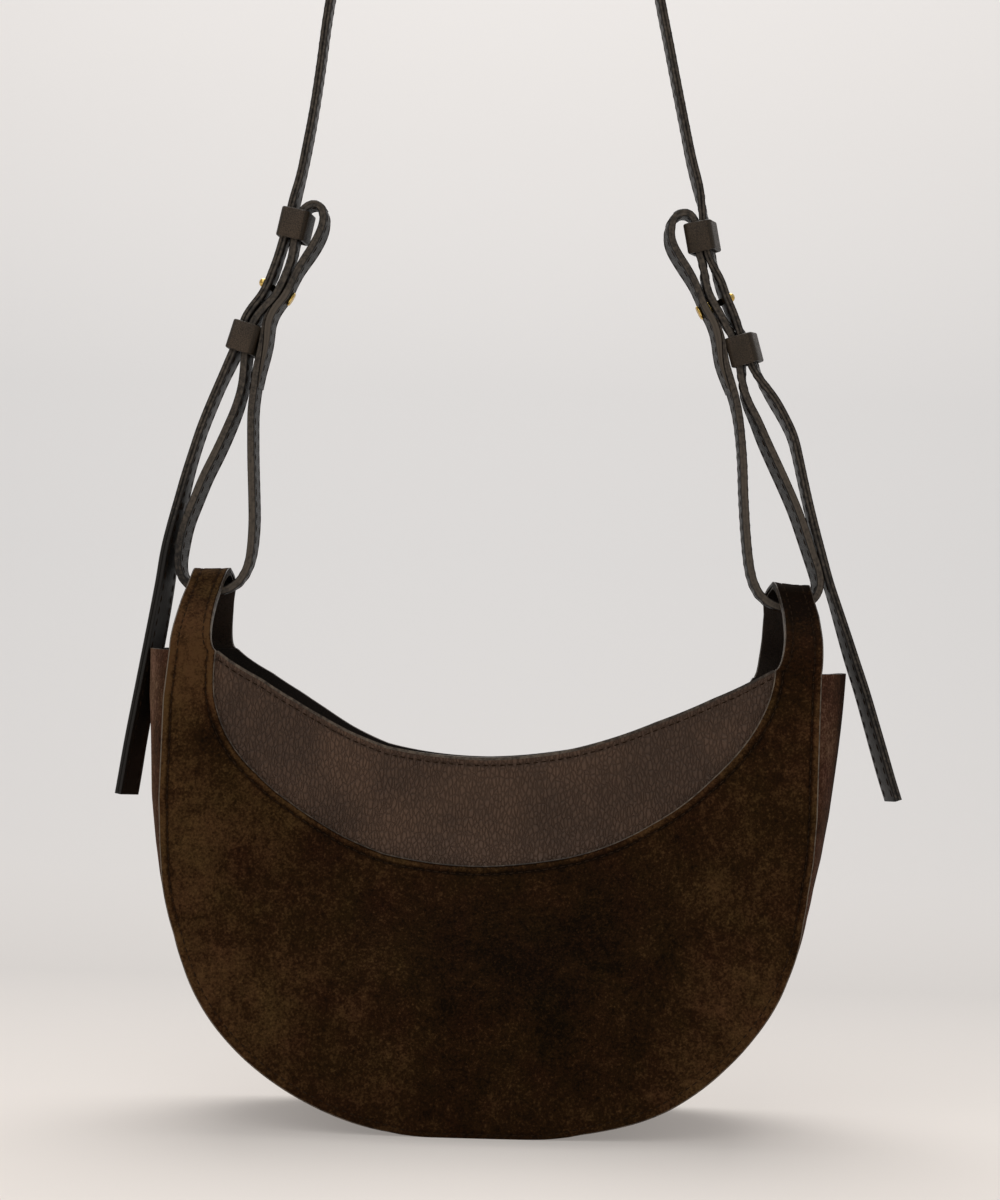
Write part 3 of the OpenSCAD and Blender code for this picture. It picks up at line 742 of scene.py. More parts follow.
def column_places(length, outer_sine, inner_sine, middle):
    """Distances from the outer edge for each row, dense near both edges."""
    first = near_edge[None, :] / outer_sine[:, None]
    last = length[:, None] - near_edge[None, ::-1] / inner_sine[:, None]
    share = np.linspace(0, 1, middle + 2)[1:-1]
    centre = lerp(first[:, -1:], last[:, :1], share[None, :])
    return np.concatenate([first, centre, last], 1)


def edge_distances(columns):
    """How far each column is from the nearer long edge, in mm."""
    middle = np.full(columns - 2 * len(near_edge), far_in)
    return np.concatenate([near_edge, middle, near_edge[::-1]])


def grooved(grid, distances, depth):
    """The grid, pulled in along the line of stitches."""
    groove = depth * hump(distances, stitch_in, groove_width)
    return grid - face_normals(grid) * groove[None, :, None]


# %% Panel grid
def panel_grid(ear_rows=34, body_rows=250, middle=24):
    e = np.linspace(1, 0, ear_rows, endpoint=False)
    s = np.linspace(0, 1, body_rows)
    outer, inner = outline(s), yoke_edge(s)
    across = inner - outer
    length = np.linalg.norm(across, axis=-1)
    places = column_places(
        length, crossing_sine(outer, across), crossing_sine(inner, across), middle)
    flat = outer[:, None] + across[:, None] * (places / length[:, None])[..., None]
    x, z = flat[..., 0], flat[..., 1]
    body = np.stack([x, -depth_at(x, z) - ripple(x, z), z], -1)
    ends = []
    for side in (-1, 1):
        wide = np.abs(ear_point(side, e, 0.0, 0)[:, 0] - ear_point(side, e, 1.0, 0)[:, 0])
        ones = np.ones_like(wide)
        share = column_places(wide, ones, ones, middle) / wide[:, None]
        rows = np.stack([ear_point(side, e, share[:, k], 0) for k in range(share.shape[1])], 1)
        ends.append(rows)
    grid = np.concatenate([ends[0], body, ends[1][::-1]], 0)
    grid[..., 1] -= seam / 2
    return grooved(grid, edge_distances(grid.shape[1]), groove_depth)


# %% [markdown]
# The tone of the suede is painted from one rule. Painted light makes the upper left and the left
# side lighter and the upper right darker; the lower sides are lighter and the middle is dark;
# painted shade darkens the tops of the crowns and a fold under each ear. The same rule draws
# the seam, lighter at its edge with painted shade in its groove, and the tone of the edge paint.


# %% Tone of the panels
# Painted light on the left side, and a slight lightening on the lower right.
lighter_sides = ((0.075, -40, -70), (0.03, 60, 50))  # strength, and the soft step across the bag
# Painted shade in the folds under the ears, and a darker lower middle.
dark_spots = (  # strength, then the middle and the reach across the bag and up it
    (0.1, 20, 62, 58, 42), (0.14, -104, 8, 140, 12), (0.06, 95, 12, 132, 14))


def panel_tone(grid):
    """How much lighter or darker the suede is at each point of a panel."""
    x, z = grid[..., 0], grid[..., 2]
    # Painted light: the upper left is lighter and the upper right darker. The lower sides are
    # lighter than the middle.
    light = 0.1 * rise(z, 140, 40) * np.where(x < 0, 1.0, -0.5)
    light = light + 0.09 * rise(np.abs(x), 45, 40) * rise(z, 95, -50)
    for strength, start, run in lighter_sides:
        light = light + strength * rise(x, start, run) * rise(z, 60, 60)
    # Painted shade darkens the tops of the ear crowns, and the spots below add their shade.
    dark = 0.15 * rise(z, 180, 16)
    for strength, x_middle, x_reach, z_middle, z_reach in dark_spots:
        dark = dark + strength * hump(x, x_middle, x_reach) * hump(z, z_middle, z_reach)
    # The seam is lighter at its edge, with painted shade in the groove along the stitches.
    distance = edge_distances(grid.shape[1])
    seam_shading = 0.07 * rise(distance, 2.4, -1.0) - 0.16 * hump(distance, stitch_in, groove_width)
    outer = np.arange(grid.shape[1]) < len(near_edge)
    shown = np.where(outer[None], rise(z, 50, 50), 1.0) * lerp(1, 0.35, rise(z, 160, 20))
    # The edge paint along the yoke is darker on the left and lighter towards the right.
    paint_width = 0.8
    edge_tone = np.where(outer[None], 0.0, 0.2 * rise(x, 10, 50) - 0.2) * (distance[None] < paint_width)
    return light - dark + seam_shading[None] * shown + edge_tone


# %% Front and back panels
panels = front_and_back(panel_grid())
for word, (grid, flip) in panels.items():
    # The back panel's cut edge takes a darker edge paint than the front's, standing for painted
    # shade along it.
    paint = strap_edge if flip else edge_paint
    sheet(f"{word}_suede_panel", grid, suede_t, (suede, flesh_side, paint), "suede",
          f"{word}_panel", flip, panel_tone(grid), painted=(0, -1))

# %% [markdown]
# ## Gusset
# One long strip of suede joins the panels round the sides and the bottom. It is tucked in behind
# the panels, so their raw edges stand a little proud, and near its free ends it bows outwards,
# more on the right than on the left. It could be bridged between the panels' edges, but a grid
# of its own has room for that bow, and its lining can follow it.


# %% Gusset grid
def gusset_grid(inset, margin, rows=220, cols=33, tuck=1.5):
    s = np.linspace(0, 1, rows)
    line = outline(s, inset)
    along = unit(np.gradient(line, axis=0))
    outwards = np.stack([along[:, 1], -along[:, 0]], -1)
    c = np.sin(np.linspace(1, -1, cols) * math.pi / 2)
    x, z = np.repeat(line[:, :1], cols, 1), np.repeat(line[:, 1:], cols, 1)
    side = np.sign(x)
    # The right end starts to bow lower down than the left one and comes out further.
    start = bow_start_h + np.where(side > 0, -28, 4)
    share = np.clip((z - start) / (side_h - start), 0, 1)
    bow = gusset_bow + np.where(side > 0, 2.2, 0.9) + side * 0.9 * np.sin(z / 19)
    # Both long edges roll in, so that they lie under the panels.
    roll = tuck * rise(np.abs(c), 0.86, 0.14)
    out_x = x + side * bow * share * (1 - c[None] ** 2) - outwards[:, :1] * roll[None]
    out_z = np.maximum(z - outwards[:, 1:] * roll[None], inset)
    y = c[None] * (edge_depth(z) - margin)
    return np.stack([out_x, y, out_z], -1)


# %% Gusset and its lining
def gusset_tone(grid):
    """Painted light at the free left end, and painted shade in the fold that runs down the middle.
    """
    x, y, z = grid[..., 0], grid[..., 1], grid[..., 2]
    left = 0.15 * rise(y, -25, 12) - 0.03
    fold_shade = hump(y, -4, 9) * rise(z, 50, 60)
    return np.where(x < 0, left, 0.0) * rise(z, 60, 90) - 0.3 * fold_shade * rise(x, -90, 60)


gusset_points = slump(gusset_grid(0.0, suede_t + seam))
sheet("suede_gusset_strip", gusset_points, gusset_t, (gusset_suede, flesh_side, edge_paint),
      "gusset_suede", "gusset", tones=gusset_tone(gusset_points))

gusset_lining_in = gusset_t + seam
lining_edge = 0.15  # radius of a lining's folded edge
lining_strip = gusset_grid(gusset_lining_in, inside_off + seam, 120, 17, 0.0)
sheet("gusset_lining_strip", slump(lining_strip, gusset_lining_in), lining_t,
      (lining_cloth,) * 3, "lining_cloth", "gusset_lining", round_edge=lining_edge)

# %% [markdown]
# ## Yokes and linings
# The smooth yokes lie under the suede and come out along its curved edge. They run up to the rim,
# where a row of stitches closes the lining. Both are drawn in columns across the bag, because
# the rim is then one clean row of points that takes the paint.


# %% Columns from a low edge to the rim
def column_grid(half, columns, low, off, rows, near=near_edge):
    """Columns across the bag from a low edge up to the rim, dense near the rim."""
    x = -half * np.cos(np.linspace(0, math.pi, columns))
    bottom, top = low(x), rim_z(x)
    places = top[:, None] - near[None, ::-1]
    share = np.linspace(0, 1, rows, endpoint=False)
    low_part = lerp(bottom[:, None], places[:, :1], share[None, :])
    z = np.concatenate([low_part, places], 1)
    x = np.repeat(x[:, None], z.shape[1], 1)
    return np.stack([x, off - depth_at(x, z) - ripple(x, z), z], -1)


# %% Yokes
def yoke_low(x):
    fall = np.sqrt(np.clip(1 - (x / (yoke_half + yoke_lap)) ** 2, 0, None))
    return side_h - yoke_lap - yoke_drop * fall


yoke_points = column_grid(yoke_half + yoke_lap, 190, yoke_low, yoke_off, 22)
from_rim = np.full(yoke_points.shape[1], far_in)
from_rim[-len(near_edge):] = near_edge[::-1]
yoke_points = grooved(yoke_points, from_rim, 0.4)
# Painted shade in the groove of the rim's stitches, and over the right side of the yoke.
seam_shading, shaded_side = 0.45 * hump(from_rim, stitch_in, groove_width), 0.14
rim_tone = -seam_shading[None] - shaded_side * rise(yoke_points[..., 0], 15, 60)
yokes = front_and_back(yoke_points)
for word, (grid, flip) in yokes.items():
    sheet(f"{word}_leather_yoke", grid, yoke_t, (yoke_leather, flesh_side, edge_paint),
          "yoke_leather", f"{word}_yoke", flip, rim_tone, painted=(-1, -2))


# %% Linings
def lining_low(x):
    return bottom_z(x, half_w - gusset_lining_in, gusset_lining_in)


lining_points = column_grid(half_w - gusset_lining_in, 120, lining_low, lining_off, 30)
for word, (grid, flip) in front_and_back(lining_points, gusset_lining_in).items():
    sheet(f"{word}_lining_cloth", grid, lining_t, (lining_cloth,) * 3, "lining_cloth",
          f"{word}_lining", flip, round_edge=lining_edge)

# %% [markdown]
# ### Ear facings
# Suede alone would stretch, so each ear is faced inside with a band of firm leather that runs up
# one leg, under the crown and down the other. It uses the ear's own path, set in by the suede.


# %% Ear facings
def facing_grid(side, rows=80, cols=9):
    e = np.linspace(0, 2, rows)
    front = e <= 1
    share = np.linspace(0, 1, cols)
    grid = np.stack(
        [ear_point(side, np.where(front, e, 2 - e), r, suede_t + seam) for r in share], 1)
    grid[..., 1] = np.where(front[:, None], grid[..., 1], -grid[..., 1])
    return grid


for side, word in ((-1, "left"), (1, "right")):
    sheet(f"{word}_ear_lining", slump(facing_grid(side)), facing_t,
          (facing_leather, facing_leather, edge_paint), "facing_leather", f"ear_facing_{word}",
          flip=side < 0, round_edge=0.2)

# %% [markdown]
# ## Straps
# Every strap is a flat strip that stands on edge to the camera, so the picture shows its painted
# edge and a little of its face. The imported straps have straight runs and mirror each other. Real
# ones hang from a hook that is a little to the left, and each strand bends in its own way between
# the keepers. The places below were chosen beside the picture, in mm, and a smooth line is
# drawn through them. The last number of each is a turn in degrees that shows the inner face.

# %% Places of the hanging straps
strap_w, strap_t, link_t = 13.0, 3.1, 3.1
seen_t = 2.8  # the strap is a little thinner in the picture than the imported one
strap_places = {
    -1: [(-137.7, 117.5, 24), (-136.8, 123.5, 24), (-135.2, 135, 23), (-131.2, 160, 21),
         (-127.0, 186, 19), (-125.4, 197, 17), (-124.0, 209, 14), (-122.3, 218, 11),
         (-120.3, 227, 8), (-118.3, 236, 5), (-115.9, 245, 3), (-113.2, 254, 3),
         (-109.9, 263, 3), (-106.3, 272, 3), (-102.6, 280.5, 6), (-99.4, 288.6, 6),
         (-97.9, 295, 4), (-95.4, 299.5, 3), (-92.3, 303.8, 1), (-90.0, 308.3, 1),
         (-88.2, 312.8, 3), (-86.8, 317.3, 1), (-85.5, 322, 1), (-82.8, 331, 5),
         (-81.1, 340, 4), (-79.2, 348, 1), (-77.0, 360, 1), (-74.8, 374, 0),
         (-72.8, 390, 0), (-70.6, 410, 0)],
    1: [(148.0, 123, 11), (145.6, 130, 11), (142.6, 139.5, 11), (139.0, 151, 10),
        (135.2, 163, 9), (131.0, 175, 8), (127.0, 187, 5), (124.0, 196, 2),
        (121.4, 203.5, 1), (118.8, 212.5, 0), (116.0, 222, 0), (113.5, 231, 0),
        (111.2, 240, 0), (109.0, 249, 0), (106.6, 257.5, 1), (103.0, 264.5, 2),
        (99.0, 271, 3), (94.6, 277.5, -4), (91.8, 282.3, -12), (89.4, 289.6, -13),
        (86.8, 294.8, -10), (84.2, 299.5, 0), (82.1, 304, 2), (80.0, 308.3, 2),
        (78.4, 312.8, 3), (76.7, 317.2, -2), (74.8, 321.8, -11), (72.6, 331, -13),
        (71.0, 340, -7), (69.2, 348, 1), (66.4, 358, 1), (63.2, 372, 0),
        (59.6, 388, 0), (55.4, 407, 0)]}
lap_places = {
    -1: [(-87.0, 299, 4), (-89.2, 294.5, 4), (-90.0, 288, 4), (-91.2, 282, 4),
         (-92.6, 276, 4), (-93.5, 270, 4)],
    1: [(75.0, 299.6, 3), (77.2, 295, 3), (78.5, 289.5, 3), (79.3, 285, 3),
        (81.6, 278.5, 3), (83.7, 273.3, 3)]}
link_places = {
    -1: [(-94.3, 262, 4), (-94.2, 252, 4), (-93.8, 241, 4), (-93.2, 230, 4),
         (-92.8, 219, 4), (-93.2, 211, 3), (-94.2, 204.5, 1), (-97.0, 198.5, 0),
         (-101.0, 195, 0), (-105.5, 193.7, 0), (-110.5, 193.7, 0), (-115.0, 194.9, 0),
         (-118.4, 198, 1), (-119.8, 203, 5), (-119.4, 209.5, 8), (-117.8, 218, 8),
         (-114.6, 227, 8), (-111.2, 236, 8), (-107.0, 245, 8), (-103.2, 254, 7),
         (-99.9, 263, 5), (-98.2, 270, 4), (-97.6, 276.5, 4), (-97.3, 282, 5),
         (-96.4, 287.8, 6), (-94.8, 294, 3), (-91.6, 299.2, 0), (-87.3, 303.8, 0),
         (-85.0, 308.3, 0), (-83.2, 312.8, 0), (-81.6, 317.4, 0), (-80.8, 322, 1),
         (-79.5, 330.5, 5), (-77.8, 335.8, 3), (-75.5, 338.4, 0), (-72.6, 339, 0),
         (-70.3, 337, 1), (-69.6, 333.4, 3), (-70.0, 330, 5), (-71.4, 326.3, 6),
         (-73.6, 322, 6), (-76.6, 317.4, 5), (-79.3, 312.8, 2), (-81.3, 308.3, 1),
         (-83.4, 303.8, 2)],
    1: [(86.0, 264.5, 1), (87.4, 255, 0), (88.3, 246, 0), (88.8, 237, 0),
        (89.5, 228, 0), (90.3, 219.5, 0), (91.4, 211, 0), (92.6, 205, 0),
        (94.6, 200, 0), (98.0, 196, 0), (102.5, 193.9, 0), (107.5, 193.7, 0),
        (112.2, 194.5, 0), (116.1, 197.4, 1), (117.7, 202, 4), (116.7, 206.8, 8),
        (114.3, 213.5, 8), (111.6, 221, 8), (108.6, 229, 8), (104.6, 237.8, 8),
        (100.3, 246.6, 8), (96.0, 255.4, 7), (92.2, 264, 4), (89.4, 269.5, 1),
        (87.8, 275, -4), (86.9, 281, -9), (86.2, 288.7, -13), (83.5, 294.3, -11),
        (79.7, 299.5, -2), (76.8, 304, 0), (74.2, 308.3, 0), (72.6, 312.5, 0),
        (72.2, 317, -3), (71.2, 321.8, -8), (69.4, 330.3, -13), (68.4, 336, -5),
        (66.2, 339, 0), (63.2, 339.5, 0), (60.1, 337.8, 1), (58.7, 333, 3),
        (58.6, 329.5, 5), (60.2, 325.5, 6), (62.8, 321.4, 6), (65.8, 317, 6),
        (68.4, 312.8, 3), (70.5, 308.3, 1), (72.3, 304, 1)]}
print("places:", {side: len(strap_places[side]) + len(link_places[side]) for side in (-1, 1)})

# %% [markdown]
# ### From places to a strap
# A curve object with a bevel would round the strap's corners but not let two strands share the
# thickness of a lap. So the cut of the strap is swept along the line by hand: each point of the
# line gets a copy of the cut, stretched between two distances across it.


# %% Smooth line through places
def right_of(way):
    return np.stack([way[..., 1], -way[..., 0]], -1)


def flowing(table, step=1.6):
    """A smooth line through the places of a table. Every column is carried along."""
    table = np.asarray(table, float)
    gaps = np.linalg.norm(np.diff(table[:, :2], axis=0), axis=1)
    run = np.concatenate([[0], np.cumsum(gaps)])
    slope = np.gradient(table, run, axis=0)
    places = np.linspace(0, run[-1], int(run[-1] / step))
    k = np.clip(np.searchsorted(run, places, "right") - 1, 0, len(gaps) - 1)
    u = ((places - run[k]) / gaps[k])[:, None]
    h = gaps[k][:, None]
    line = (1 + 2 * u) * (1 - u) ** 2 * table[k] + u * (1 - u) ** 2 * h * slope[k]
    line += u * u * (3 - 2 * u) * table[k + 1] + u * u * (u - 1) * h * slope[k + 1]
    for _ in range(3):
        line[1:-1] = 0.25 * line[:-2] + 0.5 * line[1:-1] + 0.25 * line[2:]
    return line


def inward_turn(line):
    """Turns of a line in radians, signed so that the far edge leans to the middle of the bag."""
    side = right_of(unit(np.gradient(line[:, :2], axis=0)))
    return np.radians(line[:, 2]) * np.sign(line[:, 0]) * np.sign(side[:, 0])


# %% Cut of a strap
def corner_ring(half_a, half_b, soft, steps):
    """Points and outward ways of a rectangle with round corners, counted from the first side."""
    ring = []
    for ca, cb, start in ((1, 1, 0), (-1, 1, 90), (-1, -1, 180), (1, -1, 270)):
        for i in range(steps + 1):
            a = math.radians(start + 90 * i / steps)
            ring.append((ca * (half_a - soft) + soft * math.cos(a),
                         cb * (half_b - soft) + soft * math.sin(a), math.cos(a), math.sin(a)))
    return ring


def section(half_t, half_width, corner=0.45, notch=0.0, steps=4):
    """Outline of a strap's cut, as (across, along width) pairs. A notch parts two layers."""
    points = [place[:2] for place in corner_ring(half_t, half_width, corner, steps)]
    if notch:
        for side, k in ((-1, 3 * (steps + 1)), (1, steps + 1)):
            points[k:k] = [(side * 0.3, side * half_width), (0, side * (half_width - notch)),
                           (-side * 0.3, side * half_width)]
    return np.array(points)


# %% Tone of a strap
def tail_tone(line):
    """The free tails hang in the bag's shadow, the left one more than the right one."""
    x, z = line[:, 0], line[:, 1]
    return -0.35 * rise(z, 250, -60) * rise(np.abs(x), 112, 8) * np.where(x > 0, 0.2, 1.0)


def corner_shade(cut, share, low, high):
    """Painted shade darkens the edge paint along the rounded corners, but hardly where two layers
    are glued.
    """
    outermost = np.abs(cut[:, 0]) > np.abs(cut[:, 0]).max() - 0.3
    glued = np.where(share > 0.5, high[0] == 0, low[0] == 0)
    return 0.05 - 0.46 * outermost * np.where(glued, 0.25, 1.0)


# %% Sweep of a cut
def swept(name, line, cut, low, high, lightened=0.0):
    """A strap: the cut swept along a line and stretched between two distances across it."""
    way = unit(np.gradient(line[:, :2], axis=0))
    side = right_of(way)
    turn = inward_turn(line)
    across = np.stack([side[:, 0] * np.cos(turn), np.sin(turn), side[:, 1] * np.cos(turn)], -1)
    width = np.stack([-side[:, 0] * np.sin(turn), np.cos(turn), -side[:, 1] * np.sin(turn)], -1)
    centre = np.stack([line[:, 0], np.zeros(len(line)), line[:, 1]], -1)
    low, high = np.broadcast_to(low, len(line)), np.broadcast_to(high, len(line))
    share = (cut[:, 0] / np.abs(cut[:, 0]).max() + 1) / 2
    place = lerp(low[:, None], high[:, None], share[None])
    grid = centre[:, None] + across[:, None] * place[..., None] + width[:, None] * cut[None, :, 1:]
    rows, cols = grid.shape[:2]
    made = mesh_object(
        name, grid.reshape(-1, 3), grid_faces(rows, cols, flip=True, wrap=True),
        finishes=(strap_leather, strap_edge))
    painted = np.abs(cut[:, 1]) > np.abs(cut[:, 1]).max() - 0.5
    slots = [int(painted[j] and painted[(j + 1) % cols]) for j in range(cols)]
    made.data.polygons.foreach_set("material_index", slots * (rows - 1) + [1, 1])
    set_tone(made, tail_tone(line)[:, None] + lightened + corner_shade(cut, share, low, high)[None])
    return smooth(made), (centre, across, width, low, high)


# %% [markdown]
# ### Long strap
# The long strap is two layers glued and sewn. Its top lies outside the picture, so it closes in
# a plain half round under the hook.

# %% Long strap
strap_top_h, arch_r, hook_x = 516.0, 46.0, -9.0
arch_turns = np.radians(np.linspace(14.777, 157.305, 7))
arch_z = strap_top_h - strap_t / 2 + arch_r * (np.sin(arch_turns) - 1)
arch = np.stack([hook_x + arch_r * np.cos(arch_turns), arch_z, np.zeros(len(arch_turns))], -1)
strap_line = flowing(np.concatenate([strap_places[1], arch, strap_places[-1][::-1]]))
layer_cut = section(seen_t / 4, strap_w / 2)
layers = {}
for name, low, high in (("outer_layer", 0, seen_t / 2), ("inner_layer", -seen_t / 2, 0)):
    layers[name] = swept("long_strap_" + name, strap_line, layer_cut, low, high)
print("layers of the long strap:", list(layers), "along", len(strap_line), "points")

# %% [markdown]
# ### Link straps
# Each link is one strap whose ends are skived, laid over each other and sewn, which makes a
# smooth lap just under the stud. The start and the end share the thickness of the lap along a
# slanting line. The returning strand is made lighter, and a painted highlight lightens the lower
# loops.

# %% Link straps
lap_swell, skived_t = 0.35, 0.3  # swell of a lap's middle, and what is left of a skived end
link_cut = section(seen_t / 2, strap_w / 2, 0.6, 0.35)
link_frames = {}
for side, word in ((-1, "left"), (1, "right")):
    lap = lap_places[side]
    line = flowing(lap + link_places[side] + lap)
    run = np.concatenate([[0], np.cumsum(np.linalg.norm(np.diff(line[:, :2], axis=0), axis=1))])
    lap_run = np.linalg.norm(np.diff(np.array(lap)[:, :2], axis=0), axis=1).sum()
    first = np.clip(run / lap_run, 0, 1)
    last = np.clip((run - run[-1] + lap_run) / lap_run, 0, 1)
    at_start, at_end = run < lap_run, run > run[-1] - lap_run
    along = np.where(at_start, first, last)
    half = seen_t / 2 * (1 + lap_swell * np.sin(math.pi * along) * (at_start | at_end))
    slant = lerp(half, -half, along)
    low = np.where(at_start, slant, -half - skived_t * along * at_end)
    high = np.where(at_end, slant, half + skived_t * (1 - along) * at_start)
    low, high = (-high, -low) if side > 0 else (low, high)
    x, z = line[:, 0], line[:, 1]
    returning = run > run[-1] - 60
    # The returning strand is made lighter near the stud.
    lightened = 0.3 * rise(z, 255, 30) * rise(z, 310, -10) * rise(np.abs(x), 95, -5) * returning
    # Painted highlight on the lower loops round the ears.
    lightened = lightened + 0.12 * rise(z, 262, -20)
    link, link_frames[side] = swept(
        f"{word}_link_loop", line, link_cut, low, high, lightened[:, None])
    dress(link, "strap", "strap_leather", f"link_strap_{word}")

# %% [markdown]
# ## Keepers
# A keeper is a short band of leather round the long strap and the link. It is one closed loop
# with a butt seam at the back, slightly swollen where it is full. A small cut is carried round
# a rectangle with round corners, which gives a true wall, and the whole band is turned a little
# about its axis as the strands under it are.

# %% Sizes of a keeper
keeper_h, keeper_t = 11.2, 1.45  # height along the strap, and wall
keeper_gap, keeper_round = 0.6, 1.3  # room inside, and radius of the inner corners
keeper_half = np.array([(strap_t + link_t + seam) / 2 + keeper_gap, strap_w / 2 + keeper_gap])


# %% Band of a keeper
def keeper_band(name, place, way, yaw):
    """Band of leather whose axis points along way, in the XZ plane, and turned by yaw about it."""
    loop = corner_ring(*keeper_half, keeper_round, 7)
    seam_points = [(x, keeper_half[1], 0, 1) for x in (0.5, 0.2, 0, -0.2, -0.5)]
    loop = loop[:8] + seam_points + loop[8:]
    half_t, half_h = keeper_t / 2, keeper_h / 2
    profile = corner_ring(half_t, half_h, 0.6, 4)
    across = np.array([way[1], -way[0]])
    grid = []
    for px, py, nx, ny in loop:
        dent = 0.45 * hump(px, 0, 0.15) * (ny > 0.9)
        for out, along, _, _ in profile:
            swell = (0.35 * (1 - (along / half_h) ** 2) - dent) * (out > 0)
            u, v = np.array([px, py]) + np.array([nx, ny]) * (half_t + out + swell)
            u, v = u * math.cos(yaw) + v * math.sin(yaw), v * math.cos(yaw) - u * math.sin(yaw)
            p = place + across * u + way * along
            grid.append((p[0], v, p[1]))
    rows, cols = len(loop), len(profile)
    faces = [(i * cols + j, (i + 1) % rows * cols + j, (i + 1) % rows * cols + (j + 1) % cols,
              i * cols + (j + 1) % cols) for i in range(rows) for j in range(cols)]
    made = mesh_object(name, grid, faces, finishes=(keeper_leather, strap_edge))
    near_rim = [abs(along) > half_h - 0.35 for _, along, _, _ in profile]
    slots = [int(near_rim[j] and near_rim[(j + 1) % cols]) for j in range(cols)]
    made.data.polygons.foreach_set("material_index", slots * rows)
    # Painted shade darkens the narrow sides of the band, and its face is a little lighter.
    side_shade, face_tone = -0.3, 0.06
    shade = [side_shade if abs(nx) > 0.6 else face_tone for _, _, nx, _ in loop for _ in profile]
    set_tone(made, shade)
    return smooth(made)


# %% Four keepers
keeper_places = {
    ("upper", -1): ((-80.5, 330.8), (0.2, 0.98)), ("lower", -1): ((-97.8, 288.2), (0.28, 0.96)),
    ("upper", 1): ((71.0, 330.6), (-0.2, 0.98)), ("lower", 1): ((87.8, 289.2), (-0.28, 0.96))}
keeper_yaw = {-1: 7.0, 1: 14.0}
for (part, side), (place, way) in keeper_places.items():
    word = "left" if side < 0 else "right"
    yaw = math.radians(keeper_yaw[side])
    piece = keeper_band(f"{part}_{word}_keeper_band", np.array(place), unit(way), yaw)
    dress(piece, f"{part}_{word}_keeper", "keeper_leather", f"keeper_{part}_{word}")

# %% [markdown]
# ## Studs
# A ball stud goes through the long strap and both strands of the link. Its knob stands on the
# outer face of the long strap, its slotted screw lies on the inner face of the returning strand,
# and the shank shows in the slit between them. Both are lathe work, so a profile is turned about
# the stud's axis, and a Boolean cuts the screw's slot as a saw would.

# %% Profiles of the stud
knob_profile = [(0.05, 0), (0.05, 2.4), (0.25, 2.6), (0.5, 2.5), (0.6, 1.7)]
ball_r, ball_out = 1.75, 0.7
knob_profile += [(ball_out - ball_r * math.cos(a), ball_r * math.sin(a))
                 for a in np.radians(np.linspace(90, 180, 8))]
head_r, head_t, shank_r = 2.7, 1.1, 1.25


# %% Lathe
def turned(name, profile, place, out, finish, steps=28):
    """A lathe part whose axis starts at a place and points along out, in the XZ plane."""
    side = np.array([out[1], -out[0]])
    angles = np.linspace(0, 2 * math.pi, steps, endpoint=False)
    points = []
    for along, radius in profile:
        for a in angles:
            p = place + out * along + side * max(radius, 0.02) * math.cos(a)
            points.append((p[0], max(radius, 0.02) * math.sin(a), p[1]))
    faces = grid_faces(len(profile), steps, wrap=True)
    return smooth(mesh_object(name, points, faces, finishes=(finish,)))


# %% Two studs
stud_places = {-1: ((-91.3, 309.0), (-81.9, 303.7)), 1: ((81.4, 308.3), (71.2, 302.9))}
spacer = {-1: (2.9, 3.7), 1: (2.9, 4.6)}  # where it starts and ends, from the inner face
spacer_r, slot_half = 2.4, 0.3


def screw_profile(depth, spacer_start, spacer_end):
    """Head, shank and the spacer between the strands, as (along, radius) pairs in mm."""
    return [(-head_t, 0), (-head_t, head_r - 0.5), (-head_t + 0.15, head_r - 0.2),
            (-head_t + 0.45, head_r), (-0.05, head_r), (-0.05, shank_r),
            (spacer_start, shank_r), (spacer_start, spacer_r), (spacer_end, spacer_r),
            (spacer_end, shank_r), (depth, shank_r), (depth, 0)]


def slot_cutter(place, out):
    across = np.array([out[1], -out[0]])
    corners = []
    for along in (-head_t - 1, -head_t + 0.4):
        for aside in (-5, 5):
            x, z = place + out * along + across * aside
            corners += [(x, -slot_half, z), (x, slot_half, z)]
    return mesh_object("slot_cutter", corners, [
        (0, 1, 3, 2), (4, 6, 7, 5), (0, 4, 5, 1), (2, 3, 7, 6), (0, 2, 6, 4), (1, 5, 7, 3)])


for side, word in ((-1, "left"), (1, "right")):
    outside, inside = (np.array(p) for p in stud_places[side])
    out = unit(outside - inside)
    depth = np.linalg.norm(outside - inside)
    knob = turned(f"{word}_stud_knob_ball", knob_profile, outside, out, pale_brass)
    screw = turned(
        f"{word}_stud_screw_head", screw_profile(depth, *spacer[side]), inside, out, pale_brass)
    cutter = slot_cutter(inside, out)
    screw.modifiers.new("slot", "BOOLEAN").object = cutter
    screw = plain_mesh(screw, f"{word}_stud_screw")
    bpy.data.objects.remove(cutter)
    dress(knob, "strap", "stud_brass", f"stud_knob_{word}")
    dress(screw, "strap", "stud_brass", f"stud_screw_{word}")
    print(word, "stud is", round(float(depth), 2), "mm through the strands")

# %% [markdown]
# ## Spare holes
# Two spare holes in each tail let the strap be set shorter or longer. A punch cuts them through
# both layers, square to the leather, and here a turned rod does the same with a Boolean.

# %% Spare holes
hole_r, hole_reach, hole_heights = 1.45, 3, (211.6, 225.4)  # the reach is half a punch's length


def punch(side, height):
    """A rod square to the strap where it passes a height on one side of the bag."""
    other_side = strap_line[:, 0] * side < 0
    k = int(np.argmin(np.abs(strap_line[:, 1] - height) + far_in * other_side))
    centre, across = layers["outer_layer"][1][:2]
    rod = [(-hole_reach, hole_r), (hole_reach, hole_r)]
    return turned("punch", rod, centre[k][[0, 2]], unit(across[k][[0, 2]]), strap_leather, 16)


